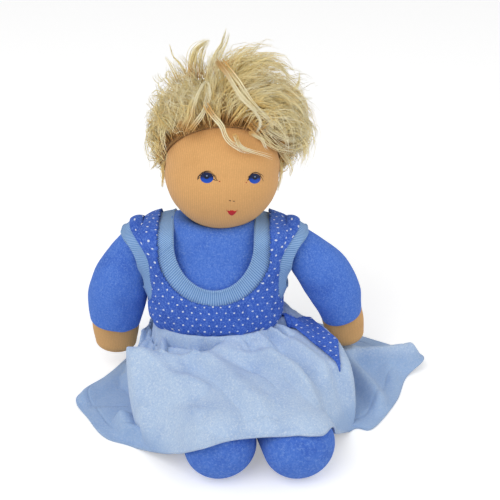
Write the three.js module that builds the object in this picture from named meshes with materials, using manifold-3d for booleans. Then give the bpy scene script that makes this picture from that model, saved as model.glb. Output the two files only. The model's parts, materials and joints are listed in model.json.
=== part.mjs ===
import * as THREE from 'three';
import { mergeVertices } from 'three/addons/utils/BufferGeometryUtils.js';
import Module from 'manifold-3d';

const wasm = await Module();
wasm.setup();

// Waldorf doll, sitting with its legs forward under a gathered skirt.
// Millimetres, +Z up. The doll faces -Y, its left side is +X.
// The origin lies on the floor under the seat.

const degrees = THREE.MathUtils.degToRad;

// Clearances and cloth
const touchGap = 0.3;
const turningGap = 0.45;
const overrun = 30;
const velour = 1.6;
const tricot = 1.2;
const dressCloth = 1.8;
const ribbing = 2.4;

// Pose in which the doll sits
const torsoLean = degrees(8);
const headTilt = degrees(10.5);
const headRoll = degrees(5.3);
const headTurn = degrees(10.75);
const legTurn = degrees(18);
const rightArmLift = degrees(3);
const leftArmLift = degrees(12);
const armLower = degrees(3);

// Torso
const torsoWidth = 112;
const torsoDepth = 78;
const torsoHeight = 150;
const torsoBottomRound = 30;
const torsoTopRound = 22;
const seatFlatDepth = 0.5;
const seatInset = 5;
const torsoWidthShares = [1.06, 0.95, 1.0, 0.94];
const torsoDepthShares = [1.06, 1.0, 1.02, 0.86];

// Neck
const neckRise = 1;
const neckHeight = torsoHeight + neckRise;
const neckRadius = 14;
const neckThreadRadius = 0.9;

// Head
const headWidth = 99.5;
const headDepth = 97;
const headHeight = 102;
const headRise = 53;
const headForward = 11;
const eyeLineCrease = 1.1;
const eyeLineWidth = 6;
const eyeThreadRadius = 0.5;
const wigCloth = 1.6;
const hairlineRise = 13.5;
const hairWidth = 128;
const hairDepth = 112;
const hairHeight = 116;
const hairShift = 5;
const hairBack = 4;
const hairRise = 35;
const hairEdgeDepth = 6;
const lockLength = 31;
const lockWidth = 27;
const lockWidthShares = [1, 0.8, 0.25];
const lockRootShare = 0.33;
const lockTipShare = 0.17;
const lockSweepShare = 0.25;
const lockDroopShare = 0.35;
const lockBowShare = 0.12;
const lockFlatShare = 0.5;
const hairlineSlope = degrees(-41);

// Legs, from the hip's axis
const hipSpacing = 64;
const hipForward = 8;
const thighRadius = 27;
const legLength = 151;
const legRaise = degrees(10);
const archSpare = degrees(2);
const footSink = 0.5;
const hipOpening = 9;
const footWidth = 60.2;
const footHeight = 58;
const footRound = 26;
const legWidthShares = [0.9, 0.88, 0.86, 0.95, 1.0];
const legHeightShares = [0.93, 0.92, 0.9, 0.95, 1.0];

// Arms, from the shoulder's pivot
const shoulderSpacing = 132;
const shoulderHeight = 143;
const shoulderRadius = 17;
const shoulderThreadRadius = 0.7;
const shoulderThreadIn = 8;
const armLength = 128;
const armWidth = 51;
const armDepth = 46;
const armOut = 24;
const handLength = 36;
const handTuck = 8;
const handSeam = 0.9;
const stuffingGap = 0.5;
const handRound = 12;
const handWidth = 36;
const handDepth = 27;
const armWidthShares = [0.66, 0.98, 1.0, 0.82];
const armDepthShares = [0.74, 0.98, 1.0, 0.86];
const armOutShares = [0, 0.86, 1.02, 1.0];
const handNeckShare = 0.96;
const handTipShare = 0.92;

// Dress
const bodiceWidth = 122;
const bodiceDepth = 82.5;
const bodiceTop = 161;
const bodiceTopRound = 22;
const bodiceWaist = 69;
const bodiceWidthShares = [0.98, 0.98, 1.17];
const bodiceDepthShares = [1.0, 1.03, 1.0];
const armholeAt = 61;
const neckOpeningWidth = 71;
const neckOpeningBottom = 113;
const neckOpeningRound = 42;
const neckOpeningBackBottom = 146;
const neckBandWidth = 14;
const armBandWidth = 11;
const armBandCap = 6;
const armBandReach = 29;
const armBandTop = 22.5;
const armBandBottom = 34;
const armBandFlare = degrees(69);
const armBandFrontFlare = degrees(30);
const armBandFoot = degrees(6);
const armBandTuck = 5;
const armFlank = 64.8;

// Skirt
const skirtRight = 192;
const skirtFront = 148;
const lapHeight = 63;
const lapReach = 150;
const lapLeft = 69;
const lapRight = 119;
const lapBack = 34.5;
const lapCentre = 10;
const lapOuter = 60;
const lapDrop = 9;
const lapDropStartShare = 0.3;
const ridgeHeight = 68;
const ridgeWidth = 11;
const valleyDepth = 10;
const valleyWidth = 7;
const ridgeRun = 17;
const ridgeLowShare = 0.33;
const ridgeHighShare = 0.7;
const ridgeFadeShare = 0.75;
const waistRun = 12;
const skirtBackRun = 45;
const gatherHeight = 2.2;
const gatherRun = 26;
const skirtGathers = 16;
const foldHeight = 10;
const foldWidth = 9;
const legClearance = 4;
const handSlopeShare = 2.2;
const hemFromShare = 0.62;
const hemPower = 1.6;
const pocketCloth = 1.5;
const pocketLift = 0.25;
const pocketSteps = 14;
const pocketRows = [1.25, 5.25];
const pocketRowStep = 0.25;
const pocketOpening = [12.2, 8];
const pocketSeam = [13.9, 11.5];

// Where the skirt's rows of points lie along its cloth
const skirtColumns = 54;
const edgeTries = 60;
const lapShareLeast = 0.1;
const lapShareMost = 0.8;
const lapFootMost = 0.92;
const ridgeShareMost = 0.6;
const outerShares = [0.3, 0.6, 0.85, 1];

// Faces of the solids
const mergeGap = 0.0001;
const ballSides = 24;
const ballRowsShare = 0.7;
const neckSides = 16;
const bandTurns = 28;
const curveFaces = 8;

// Materials
const material = (color, roughness) => new THREE.MeshStandardMaterial({ color, roughness, metalness: 0 });
const looks = {
  velour: material(0x4168c4, 0.95),
  wool: material(0xf0ead8, 1),
  skin: material(0xd6a368, 0.85),
  thread: material(0xe8dcc0, 0.8),
  blueThread: material(0x3a5cb0, 0.8),
  dots: material(0x3f63bd, 0.95),
  rib: material(0x7fa6da, 0.9),
  skirt: material(0x8fadd9, 0.95),
  mohair: material(0xd9c38f, 0.9),
};

const doll = new THREE.Group();

// Solids and meshes
function toSolid(geometry) {
  const bare = new THREE.BufferGeometry();
  bare.setAttribute('position', geometry.getAttribute('position'));
  if (geometry.index) bare.setIndex(geometry.index);
  const merged = mergeVertices(bare, mergeGap);
  const solid = new wasm.Manifold(new wasm.Mesh({
    numProp: 3,
    vertProperties: new Float32Array(merged.getAttribute('position').array),
    triVerts: new Uint32Array(merged.index.array),
  }));
  return solid;
}

function toGeometry(solid) {
  const mesh = solid.getMesh();
  const geometry = new THREE.BufferGeometry();
  geometry.setAttribute('position', new THREE.BufferAttribute(new Float32Array(mesh.vertProperties), 3));
  geometry.setIndex(new THREE.BufferAttribute(new Uint32Array(mesh.triVerts), 1));
  return geometry;
}

function addPiece(parent, name, shape, look) {
  const geometry = shape.isBufferGeometry ? shape : toGeometry(shape);
  const mesh = new THREE.Mesh(geometry, look);
  mesh.name = name;
  parent.add(mesh);
  return mesh;
}

// The value at a share of the way along evenly spaced values, on a smooth curve
function along(values, share) {
  const curve = new THREE.SplineCurve(values.map((value, i) => new THREE.Vector2(i, value)));
  return curve.getPoint(share).y;
}

// A closed skin over rings of equal count, with a pole at each end
function skinRings(rings, startPole, endPole) {
  const count = rings[0].length;
  const positions = [...startPole.toArray()];
  rings.forEach((ring) => ring.forEach((point) => positions.push(...point.toArray())));
  positions.push(...endPole.toArray());
  const last = 1 + rings.length * count;
  const faces = [];
  for (let i = 0; i < count; i += 1) {
    const next = (i + 1) % count;
    faces.push(0, 1 + next, 1 + i);
    for (let r = 0; r < rings.length - 1; r += 1) {
      const a = 1 + r * count;
      const b = a + count;
      faces.push(a + i, a + next, b + next, a + i, b + next, b + i);
    }
    const end = last - count;
    faces.push(end + i, end + next, last);
  }
  const geometry = new THREE.BufferGeometry();
  geometry.setAttribute('position', new THREE.Float32BufferAttribute(positions, 3));
  geometry.setIndex(faces);
  return geometry;
}

// A closed strip: rings of corners joined one to the next and back to the first
function closedStrip(rings) {
  const corners = rings[0].length;
  const faces = [];
  rings.forEach((_, i) => {
    const a = i * corners;
    const b = ((i + 1) % rings.length) * corners;
    for (let k = 0; k < corners; k += 1) {
      const n = (k + 1) % corners;
      faces.push(a + k, b + k, b + n, a + k, b + n, a + n);
    }
  });
  const geometry = new THREE.BufferGeometry();
  const places = rings.flat().flatMap((point) => point.toArray());
  geometry.setAttribute('position', new THREE.Float32BufferAttribute(places, 3));
  geometry.setIndex(faces);
  return geometry;
}

// A sewn and stuffed form: oval rings along a path, with a rounded end at each side
function stuffedForm(form) {
  const { centres, widths, depths, across, sides, steps, startRound, endRound } = form;
  const inset = form.inset ?? 0;
  const fullness = form.fullness ?? 2;
  const path = new THREE.CatmullRomCurve3(centres);
  const rounds = form.rounds ?? 4;
  const ringAt = (share, scale, shift) => {
    const centre = path.getPoint(share);
    const tangent = path.getTangent(share);
    const side = across.clone().addScaledVector(tangent, -across.dot(tangent)).normalize();
    const front = tangent.clone().cross(side);
    const halfWidth = (along(widths, share) / 2 - inset) * scale;
    const halfDepth = (along(depths, share) / 2 - inset) * scale;
    return Array.from({ length: sides }, (_, i) => {
      const angle = (i / sides) * 2 * Math.PI;
      const c = Math.cos(angle);
      const s = Math.sin(angle);
      const u = Math.sign(c) * Math.abs(c) ** (2 / fullness);
      const v = Math.sign(s) * Math.abs(s) ** (2 / fullness);
      return centre.clone().addScaledVector(side, u * halfWidth)
        .addScaledVector(front, v * halfDepth)
        .addScaledVector(tangent, shift);
    });
  };
  const roundness = form.roundness ?? 2;
  const roundRing = (share, height, direction, step) => {
    const rise = Math.sin((step / rounds) * Math.PI / 2);
    const scale = (1 - rise ** roundness) ** (1 / roundness);
    return ringAt(share, scale, direction * (height - inset) * rise);
  };
  const rings = [];
  for (let k = rounds - 1; k > 0; k -= 1) rings.push(roundRing(0, startRound, -1, k));
  for (let k = 0; k <= steps; k += 1) rings.push(ringAt(k / steps, 1, 0));
  for (let k = 1; k < rounds; k += 1) rings.push(roundRing(1, endRound, 1, k));
  const pole = (share, height) => path.getPoint(share).addScaledVector(path.getTangent(share), height);
  return skinRings(rings, pole(0, inset - startRound), pole(1, endRound - inset));
}

// Simple cutters
function ball(radius, centre, sides = ballSides) {
  const sphere = new THREE.SphereGeometry(radius, sides, Math.round(sides * ballRowsShare));
  return toSolid(sphere.translate(...centre.toArray()));
}

function block(low, high) {
  const size = high.clone().sub(low);
  const centre = low.clone().add(high).multiplyScalar(0.5);
  return toSolid(new THREE.BoxGeometry(...size.toArray()).translate(...centre.toArray()));
}

const reach = 3 * torsoHeight;
const belowHeight = (z) => block(new THREE.Vector3(-reach, -reach, -reach), new THREE.Vector3(reach, reach, z));

// The main body of a solid, without the slivers that cuts can leave beside it
function mainBody(solid) {
  return solid.decompose().reduce((a, b) => (a.volume() > b.volume() ? a : b));
}

// Frames of the moving pieces
const torsoFrame = new THREE.Group();
torsoFrame.rotation.x = -torsoLean;
doll.add(torsoFrame);

const neckFrame = new THREE.Group();
neckFrame.position.set(0, 0, neckHeight);
torsoFrame.add(neckFrame);

const headFrame = new THREE.Group();
headFrame.rotation.set(-headTilt, headRoll, headTurn, 'YXZ');
neckFrame.add(headFrame);

const sides = [
  { name: 'right', sign: -1, lift: rightArmLift },
  { name: 'left', sign: 1, lift: leftArmLift },
];

const armFrames = sides.map(({ sign, lift }) => {
  const shoulder = new THREE.Group();
  shoulder.position.set(sign * shoulderSpacing / 2, 0, shoulderHeight);
  shoulder.rotation.x = torsoLean;
  torsoFrame.add(shoulder);
  const arm = new THREE.Group();
  arm.rotation.y = -sign * lift;
  shoulder.add(arm);
  return { shoulder, arm };
});

const hipHeight = footHeight / 2 - footSink;
const legFrames = sides.map(({ sign }) => {
  const frame = new THREE.Group();
  frame.position.set(sign * hipSpacing / 2, -hipForward, hipHeight);
  frame.rotation.z = legTurn;
  doll.add(frame);
  return frame;
});

const toTorso = new THREE.Matrix4();
function settleTorso(height) {
  torsoFrame.position.z = height;
  doll.updateMatrixWorld(true);
  toTorso.copy(torsoFrame.matrixWorld).invert();
}
settleTorso(0);

const shoulderAt = (sign) => new THREE.Vector3(sign * shoulderSpacing / 2, 0, shoulderHeight);

// Everything below a height over the floor, in the torso's frame
function floorSlab(height) {
  const slab = new THREE.BoxGeometry(reach, reach, reach).translate(0, 0, height - reach / 2);
  return toSolid(slab.applyMatrix4(toTorso));
}

// Torso: a velour cover stuffed with wool, open at the neck and hollowed where the limbs turn
const torsoForm = {
  centres: [torsoBottomRound, torsoHeight - torsoTopRound].map((z) => new THREE.Vector3(0, 0, z)),
  widths: torsoWidthShares.map((share) => share * torsoWidth),
  depths: torsoDepthShares.map((share) => share * torsoDepth),
  across: new THREE.Vector3(1, 0, 0),
  sides: 20,
  steps: 4,
  rounds: 3,
  startRound: torsoBottomRound,
  endRound: torsoTopRound,
  fullness: 2.3,
  roundness: 2.6,
};

// The arch over both thighs, seen from the side, which they swing in from level to straight down
function thighArch(gap) {
  const radius = thighRadius + gap;
  const outline = new THREE.Shape();
  const back = radius - hipForward;
  const front = -torsoDepth;
  const raise = legRaise + archSpare;
  outline.moveTo(back, -overrun);
  outline.lineTo(back, hipHeight);
  outline.absarc(-hipForward, hipHeight, radius, 0, Math.PI / 2 - raise, false);
  outline.lineTo(front, hipHeight + radius / Math.cos(raise) - Math.tan(raise) * (front + hipForward));
  outline.lineTo(front, -overrun);
  const arch = new THREE.ExtrudeGeometry(outline, { depth: 2 * torsoWidth, bevelEnabled: false, curveSegments: curveFaces });
  arch.translate(0, 0, -torsoWidth).rotateX(Math.PI / 2).rotateZ(Math.PI / 2);
  return toSolid(arch.applyMatrix4(toTorso));
}

function torsoCutters(gap) {
  const joints = sides.map(({ sign }) => ball(shoulderRadius + gap, shoulderAt(sign), 18));
  const neck = ball(neckRadius + gap, neckFrame.position, 16);
  return wasm.Manifold.union([neck, thighArch(gap), floorSlab(gap - turningGap), ...joints]);
}

const looseHeel = mainBody(toSolid(stuffedForm(torsoForm)).subtract(thighArch(turningGap)));
settleTorso(-looseHeel.transform([...torsoFrame.matrixWorld.elements]).boundingBox().min[2] - seatFlatDepth);

const torsoOuter = mainBody(toSolid(stuffedForm(torsoForm)).subtract(torsoCutters(turningGap)));
const torsoInside = (inset) => mainBody(toSolid(stuffedForm({ ...torsoForm, inset, sides: 14, steps: 3, rounds: 3 }))
  .subtract(torsoCutters(turningGap + inset)));
const neckHole = toSolid(new THREE.CylinderGeometry(neckRadius, neckRadius, torsoHeight / 2, 16)
  .rotateX(Math.PI / 2).translate(0, 0, neckHeight));
addPiece(torsoFrame, 'torso_cover', torsoOuter.subtract(torsoInside(velour)).subtract(neckHole), looks.velour);
addPiece(torsoFrame, 'torso_stuffing', torsoInside(velour + touchGap), looks.wool);

// Neck thread: it ties the head's cloth and turns with the head
const neckThread = new THREE.TorusGeometry(neckRadius + turningGap + neckThreadRadius, neckThreadRadius, 6, 24);
addPiece(neckFrame, 'neck_thread', neckThread, looks.thread);

// Head: a tricot cover over a wool ball that a thread ties in at the eye line
const hairCentre = new THREE.Vector3(hairShift, hairBack - headForward, hairRise + headRise);
const headSides = 20;
const headRows = 12;
const coreSides = 16;
const coreRows = 10;
const headShape = new THREE.Vector3(headWidth / headHeight, headDepth / headHeight, 1);
const headCentre = new THREE.Vector3(0, -headForward, headRise);

function headForm(inset, crease, segments, points) {
  const radius = headHeight / 2 - inset;
  const profile = Array.from({ length: points + 1 }, (_, i) => {
    const angle = (i / points - 0.5) * Math.PI;
    const height = radius * Math.sin(angle);
    const dent = crease * Math.exp(-((height / eyeLineWidth) ** 2));
    return new THREE.Vector2(i % points ? radius * Math.cos(angle) - dent : 0, height);
  });
  return toSolid(new THREE.LatheGeometry(profile, segments).rotateX(Math.PI / 2).scale(...headShape.toArray())
    .translate(...headCentre.toArray()));
}

const coreCrease = eyeLineCrease + 2 * eyeThreadRadius + 2 * touchGap;
const neckStub = (radius) => ball(radius, new THREE.Vector3(), 16);
const headOuter = headForm(0, eyeLineCrease, headSides, headRows).add(neckStub(neckRadius));
const headHollow = headForm(tricot, eyeLineCrease, coreSides, coreRows).add(neckStub(neckRadius - tricot));
const neckCut = belowHeight(-neckRadius + 2 * tricot);
addPiece(headFrame, 'head_cover', headOuter.subtract(headHollow).subtract(neckCut), looks.skin);
addPiece(headFrame, 'head_core', headForm(tricot + touchGap, coreCrease, coreSides, coreRows), looks.wool);

const coreWaist = headHeight / 2 - tricot - touchGap - coreCrease;
const eyeLine = new THREE.TorusGeometry(coreWaist + touchGap + eyeThreadRadius, eyeThreadRadius, 5, coreSides)
  .scale(...headShape.toArray()).translate(...headCentre.toArray());
addPiece(headFrame, 'eye_line_thread', eyeLine, looks.thread);

// Wig: a mohair cap over the upper and rear head, with its hair standing off in locks
function hairSide(lower) {
  const slab = new THREE.BoxGeometry(reach, reach, reach).translate(0, 0, reach / 2)
    .rotateX(hairlineSlope).translate(0, 0, hairlineRise - lower);
  return toSolid(slab.translate(...headCentre.toArray()));
}

const wigOuter = headForm(-touchGap - wigCloth, 0, headSides, headRows);
const wigInner = headForm(-touchGap, 0, headSides, headRows);
addPiece(headFrame, 'wig_cap', wigOuter.subtract(wigInner).intersect(hairSide(0)), looks.mohair);

function hairLock(turn, rise, size) {
  const out = new THREE.Vector3().setFromSphericalCoords(1, Math.PI / 2 - rise, turn);
  const direction = new THREE.Vector3(out.x, out.z, out.y).multiply(headShape);
  const sweep = new THREE.Vector3(lockSweepShare, 0, -lockDroopShare * (1 - direction.z));
  const root = direction.clone().multiplyScalar(headHeight / 2 - hairEdgeDepth);
  const tip = root.clone().addScaledVector(direction, lockLength * size)
    .addScaledVector(sweep, lockLength * size);
  const middle = root.clone().lerp(tip, 0.5).addScaledVector(direction, lockLength * size * lockBowShare);
  const widths = lockWidthShares.map((share) => share * lockWidth * size);
  return toSolid(stuffedForm({
    centres: [root, middle, tip].map((point) => point.add(hairCentre)),
    widths,
    depths: widths.map((width) => width * lockFlatShare),
    across: new THREE.Vector3(0, 1, 0).cross(direction).normalize(),
    sides: 5,
    steps: 3,
    rounds: 2,
    startRound: lockWidth * lockRootShare,
    endRound: lockWidth * lockTipShare,
  }));
}

const hairMass = toSolid(new THREE.SphereGeometry(1, 18, 12).rotateX(Math.PI / 2)
  .scale(hairWidth / 2, hairDepth / 2, hairHeight / 2).translate(...hairCentre.toArray()))
  .intersect(hairSide(hairEdgeDepth));
const lockRows = [
  { rise: degrees(14), count: 7, size: 0.85, from: degrees(10) },
  { rise: degrees(40), count: 6, size: 1, from: degrees(-12) },
  { rise: degrees(68), count: 4, size: 1.05, from: degrees(20) },
];
const locks = lockRows.flatMap(({ rise, count, size, from }) => Array.from({ length: count }, (_, i) => (
  hairLock(from + (i / count) * 2 * Math.PI, rise, size)
)));
const hair = mainBody(wasm.Manifold.union([hairMass, ...locks])
  .subtract(headForm(-2 * touchGap - wigCloth, 0, headSides, headRows)).intersect(hairSide(hairEdgeDepth)));
addPiece(headFrame, 'hair', hair, looks.mohair);

// Legs: a velour cover with its foot, stuffed with wool, open inside the hip
function legForm(inset, ringSides) {
  const sizes = (shares, size) => shares.map((share) => share * size);
  return {
    centres: [new THREE.Vector3(0, 0, 0), new THREE.Vector3(0, footRound - legLength, 0)],
    widths: sizes(legWidthShares, footWidth),
    depths: sizes(legHeightShares, footHeight),
    across: new THREE.Vector3(1, 0, 0),
    sides: ringSides,
    steps: 5,
    rounds: 3,
    startRound: thighRadius,
    endRound: footRound,
    inset,
  };
}

const soleCut = (height) => toSolid(new THREE.BoxGeometry(reach, reach, reach)
  .translate(0, 0, height - hipHeight - reach / 2));
legFrames.forEach((frame, i) => {
  const { name } = sides[i];
  const outer = toSolid(stuffedForm(legForm(0, 18))).subtract(soleCut(0));
  const inside = (inset) => toSolid(stuffedForm(legForm(inset, 12))).subtract(soleCut(inset));
  const opening = toSolid(new THREE.CylinderGeometry(hipOpening, hipOpening, 2 * thighRadius, 12)
    .translate(0, thighRadius, 0));
  addPiece(frame, `${name}_leg_cover`, outer.subtract(inside(velour)).subtract(opening), looks.velour);
  addPiece(frame, `${name}_leg_stuffing`, inside(velour + touchGap), looks.wool);
});

// Arms: a velour sleeve over wool, and a tricot hand sewn into its end
function armForm(sign, from, to, extra) {
  const at = (share) => new THREE.Vector3(
    sign * armOut * along(armOutShares, share),
    0,
    -share * (armLength - handRound),
  );
  return {
    centres: [0, 1 / 3, 2 / 3, 1].map((share) => at(from + share * (to - from))),
    across: new THREE.Vector3(1, 0, 0),
    ...extra,
  };
}

armFrames.forEach(({ shoulder, arm }, i) => {
  const { name, sign } = sides[i];
  const sleeveEnd = armLength - handLength;
  const armholeGap = armFlank - shoulderSpacing / 2;
  const flank = sign > 0
    ? block(new THREE.Vector3(-reach, -reach, -reach), new THREE.Vector3(armholeGap, reach, reach))
    : block(new THREE.Vector3(-armholeGap, -reach, -reach), new THREE.Vector3(reach, reach, reach));
  const wrist = belowHeight(-sleeveEnd);
  const sleeve = (inset, ringSides, steps) => toSolid(stuffedForm(armForm(sign, 0, 1, {
    widths: armWidthShares.map((share) => share * armWidth),
    depths: armDepthShares.map((share) => share * armDepth),
    sides: ringSides,
    steps,
    rounds: 3,
    startRound: shoulderRadius,
    endRound: handRound,
    inset,
  }))).subtract(flank.translate(sign * inset, 0, 0)).add(ball(shoulderRadius - inset, new THREE.Vector3(), 12));
  const outer = sleeve(0, 12, 4).subtract(wrist);
  addPiece(arm, `${name}_sleeve`, outer.subtract(sleeve(velour, 12, 4)), looks.velour);
  const stuffing = sleeve(velour + touchGap, 12, 4).subtract(belowHeight(-sleeveEnd + handTuck + stuffingGap));
  addPiece(arm, `${name}_arm_stuffing`, stuffing, looks.wool);

  const handFrom = (sleeveEnd - handTuck) / (armLength - handRound);
  const tuckWidth = armWidthShares[3] * armWidth - 2 * (velour + handSeam);
  const tuckDepth = armDepthShares[3] * armDepth - 2 * (velour + handSeam);
  const hand = stuffedForm(armForm(sign, handFrom, 1, {
    widths: [tuckWidth * handNeckShare, handWidth, handWidth * handTipShare],
    depths: [tuckDepth * handNeckShare, handDepth, handDepth * handTipShare],
    sides: 12,
    steps: 3,
    rounds: 3,
    startRound: touchGap,
    endRound: handRound,
  }));
  addPiece(arm, `${name}_hand`, hand, looks.skin);

  const threadRadius = Math.sqrt(shoulderRadius ** 2 - shoulderThreadIn ** 2) + turningGap + shoulderThreadRadius;
  const thread = new THREE.TorusGeometry(threadRadius, shoulderThreadRadius, 5, 24)
    .rotateY(Math.PI / 2).translate(-sign * shoulderThreadIn, 0, 0);
  addPiece(shoulder, `${name}_shoulder_thread`, thread, looks.blueThread);
});

// Dress bodice: front and back panels sewn at the sides and shoulders, with ribbed bindings
const bodiceForm = (inset) => ({
  centres: [bodiceWaist - overrun, bodiceTop - bodiceTopRound].map((z) => new THREE.Vector3(0, 0, z)),
  widths: bodiceWidthShares.map((share) => share * bodiceWidth),
  depths: bodiceDepthShares.map((share) => share * bodiceDepth),
  across: new THREE.Vector3(1, 0, 0),
  sides: 24,
  steps: 4,
  rounds: 3,
  startRound: overrun,
  endRound: bodiceTopRound,
  fullness: 2.3,
  roundness: 2.8,
  inset,
});

const clothLayer = (outset, thickness) => toSolid(stuffedForm(bodiceForm(-outset)))
  .subtract(toSolid(stuffedForm(bodiceForm(thickness - outset))))
  .subtract(belowHeight(bodiceWaist));

function neckOpening(width, bottom, isFront) {
  const half = width / 2;
  const outline = new THREE.Shape();
  outline.moveTo(half, bodiceTop + overrun);
  outline.lineTo(-half, bodiceTop + overrun);
  outline.lineTo(-half, bottom + neckOpeningRound);
  outline.absellipse(0, bottom + neckOpeningRound, half, neckOpeningRound, Math.PI, 2 * Math.PI, false);
  const prism = new THREE.ExtrudeGeometry(outline, { depth: bodiceDepth, bevelEnabled: false, curveSegments: curveFaces });
  prism.rotateX(Math.PI / 2);
  if (!isFront) prism.translate(0, bodiceDepth, 0);
  return toSolid(prism);
}

const bothNeckOpenings = (width, lower) => neckOpening(width, neckOpeningBottom - lower, true)
  .add(neckOpening(width, neckOpeningBackBottom - neckOpeningRound - lower, false));
const neckBand = clothLayer((ribbing - dressCloth) / 2, ribbing)
  .intersect(bothNeckOpenings(neckOpeningWidth + 2 * neckBandWidth, neckBandWidth))
  .subtract(bothNeckOpenings(neckOpeningWidth, 0));
addPiece(torsoFrame, 'neck_binding', mainBody(neckBand), looks.rib);

// Armhole bindings: a ribbed band sewn round each armhole, its free edge standing off over the sleeve
function armholeBand(sign, spare) {
  const rings = Array.from({ length: bandTurns }, (_, i) => {
    const angle = (i / bandTurns) * 2 * Math.PI;
    const up = Math.cos(angle);
    const away = Math.sin(angle) ** 2;
    const spoke = new THREE.Vector3(0, armBandReach * Math.sin(angle), (up > 0 ? armBandTop : armBandBottom) * up);
    const flare = up > 0
      ? armBandFrontFlare + (armBandFlare - armBandFrontFlare) * up
      : armBandFoot + (armBandFrontFlare - armBandFoot) * away;
    const outward = spoke.clone().normalize();
    const across = outward.clone().multiplyScalar(-Math.cos(flare)).setX(Math.sin(flare));
    const thick = outward.clone().multiplyScalar(Math.sin(flare)).setX(Math.cos(flare));
    const root = spoke.setX(armholeAt + touchGap - armBandTuck * away);
    const breadth = armBandWidth + armBandCap * Math.max(0, up) ** 2;
    const corner = (wide, high) => root.clone().addScaledVector(across, wide).addScaledVector(thick, high);
    const far = breadth + spare;
    const top = ribbing + spare;
    return [corner(-spare, -spare), corner(far, -spare), corner(far, top), corner(-spare, top)];
  });
  const geometry = closedStrip(rings);
  geometry.translate(0, 0, shoulderHeight);
  return sign > 0 ? toSolid(geometry) : toSolid(geometry).mirror([1, 0, 0]);
}

const bodiceNeck = neckOpeningWidth + 2 * (neckBandWidth + touchGap);
const beyondArmholes = [-1, 1].map((sign) => (sign > 0
  ? block(new THREE.Vector3(armholeAt, -reach, -reach), new THREE.Vector3(reach, reach, reach))
  : block(new THREE.Vector3(-reach, -reach, -reach), new THREE.Vector3(-armholeAt, reach, reach))));
const shoulderRoom = shoulderRadius + turningGap + 2 * shoulderThreadRadius + touchGap;
const shoulderRooms = sides.map(({ sign }) => ball(shoulderRoom, shoulderAt(sign), 18));
const bandRooms = sides.map(({ sign }) => armholeBand(sign, touchGap));
const bodice = clothLayer(0, dressCloth)
  .subtract(bothNeckOpenings(bodiceNeck, neckBandWidth + touchGap))
  .subtract(wasm.Manifold.union([...beyondArmholes, ...shoulderRooms, ...bandRooms]));
const halfSpace = (low, high) => block(new THREE.Vector3(-reach, low, -reach), new THREE.Vector3(reach, high, reach));
addPiece(torsoFrame, 'bodice_front', mainBody(bodice.subtract(halfSpace(-touchGap / 2, reach))), looks.dots);
addPiece(torsoFrame, 'bodice_back', mainBody(bodice.subtract(halfSpace(-reach, touchGap / 2))), looks.dots);

sides.forEach(({ name, sign }) => {
  addPiece(torsoFrame, `${name}_armhole_binding`, armholeBand(sign, 0), looks.rib);
});

// Skirt: one gathered tube of cloth from the waist, over the thighs and out over the floor.
// The hem's points are shares of skirtRight, skirtFront and lapHeight, from the front round to the doll's left.
const hemShares = [
  [0.21, -0.92, 0.67], [0.375, -0.99, 0.81], [0.5, -0.96, 0.7], [0.595, -0.76, 0.38], [0.72, -0.5, 0.03],
  [0.85, -0.23, 0.02], [0.917, 0, 0.02], [1, 0.125, 0.17], [0.9, 0.31, 0.06], [0.745, 0.44, 0.03],
  [0.51, 0.61, 0.03], [0.25, 0.72, 0.02], [0, 0.725, 0.05], [-0.21, 0.66, 0.02], [-0.345, 0.475, 0.05],
  [-0.45, 0.22, 0.02], [-0.56, -0.04, 0.02], [-0.656, -0.22, 0.03], [-0.583, -0.4, 0.02], [-0.49, -0.58, 0.02],
  [-0.345, -0.67, 0.02], [-0.2, -0.755, 0.06], [-0.07, -0.985, 0.6], [0.0625, -1.02, 0.75],
];
const smoothCurve = (points, closed) => new THREE.CatmullRomCurve3(points, closed, 'catmullrom', 0.5);
const hemOutline = smoothCurve(hemShares.map(([x, y, z]) => (
  new THREE.Vector3(x * skirtRight, y * skirtFront, z * lapHeight))), true);

// The lap's cloth: its height from the waist to the feet, and its two edges from the waist to the hem
const lapTopShares = [0.95, 1, 0.99, 0.975, 0.96, 0.945, 0.905, 0.79];
const leftEdgeShares = [0.81, 0.87, 0.94, 0.985, 1, 0.94, 0.83, 0.67, 0.55];
const rightEdgeShares = [0.5, 0.62, 0.74, 0.84, 0.92, 0.975, 1, 1, 0.96];
const leftHeightShares = [1, 1, 0.985, 0.97, 0.92, 0.84, 0.73, 0.54, 0.32];
const rightHeightShares = [0.83, 0.87, 0.9, 0.92, 0.9, 0.86, 0.76, 0.63, 0.38];

// The ridge where the lap's cloth folds over, as shares of lapLeft and skirtFront
const ridgeShares = [
  [-1.01, -0.28], [-0.81, -0.315], [-0.58, -0.32], [-0.12, -0.32], [0.09, -0.247], [0.26, -0.15],
];
const ridge = ridgeShares.map(([x, y]) => new THREE.Vector2(x * lapLeft, y * skirtFront));

// Folds of the cloth, each from one place to another in shares of skirtRight and skirtFront
const foldShares = [
  { from: [0.13, -0.2], to: [0.46, -0.74], height: 0.5, width: 0.8 },
  { from: [0.24, -0.2], to: [0.5, -0.6], height: -0.4, width: 0.9 },
  { from: [0, -0.4], to: [0.22, -0.85], height: -0.3, width: 1.1 },
  { from: [0.62, 0.13], to: [1, 0.13], height: 1.2, width: 0.9 },
  { from: [0.64, 0.07], to: [0.77, -0.3], height: 0.9, width: 0.9 },
  { from: [-0.44, 0.1], to: [-0.64, -0.21], height: 0.4, width: 1.1 },
  { from: [-0.37, -0.46], to: [-0.25, -0.66], height: 0.6, width: 0.7 },
  { from: [0.2, 0.44], to: [0.34, 0.69], height: 0.6, width: 1.1 },
  { from: [-0.05, 0.46], to: [-0.1, 0.7], height: 0.6, width: 1 },
  { from: [-0.29, 0.3], to: [-0.4, 0.46], height: 0.5, width: 1 },
  { from: [0.44, 0.33], to: [0.68, 0.49], height: 0.6, width: 1 },
];
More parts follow.
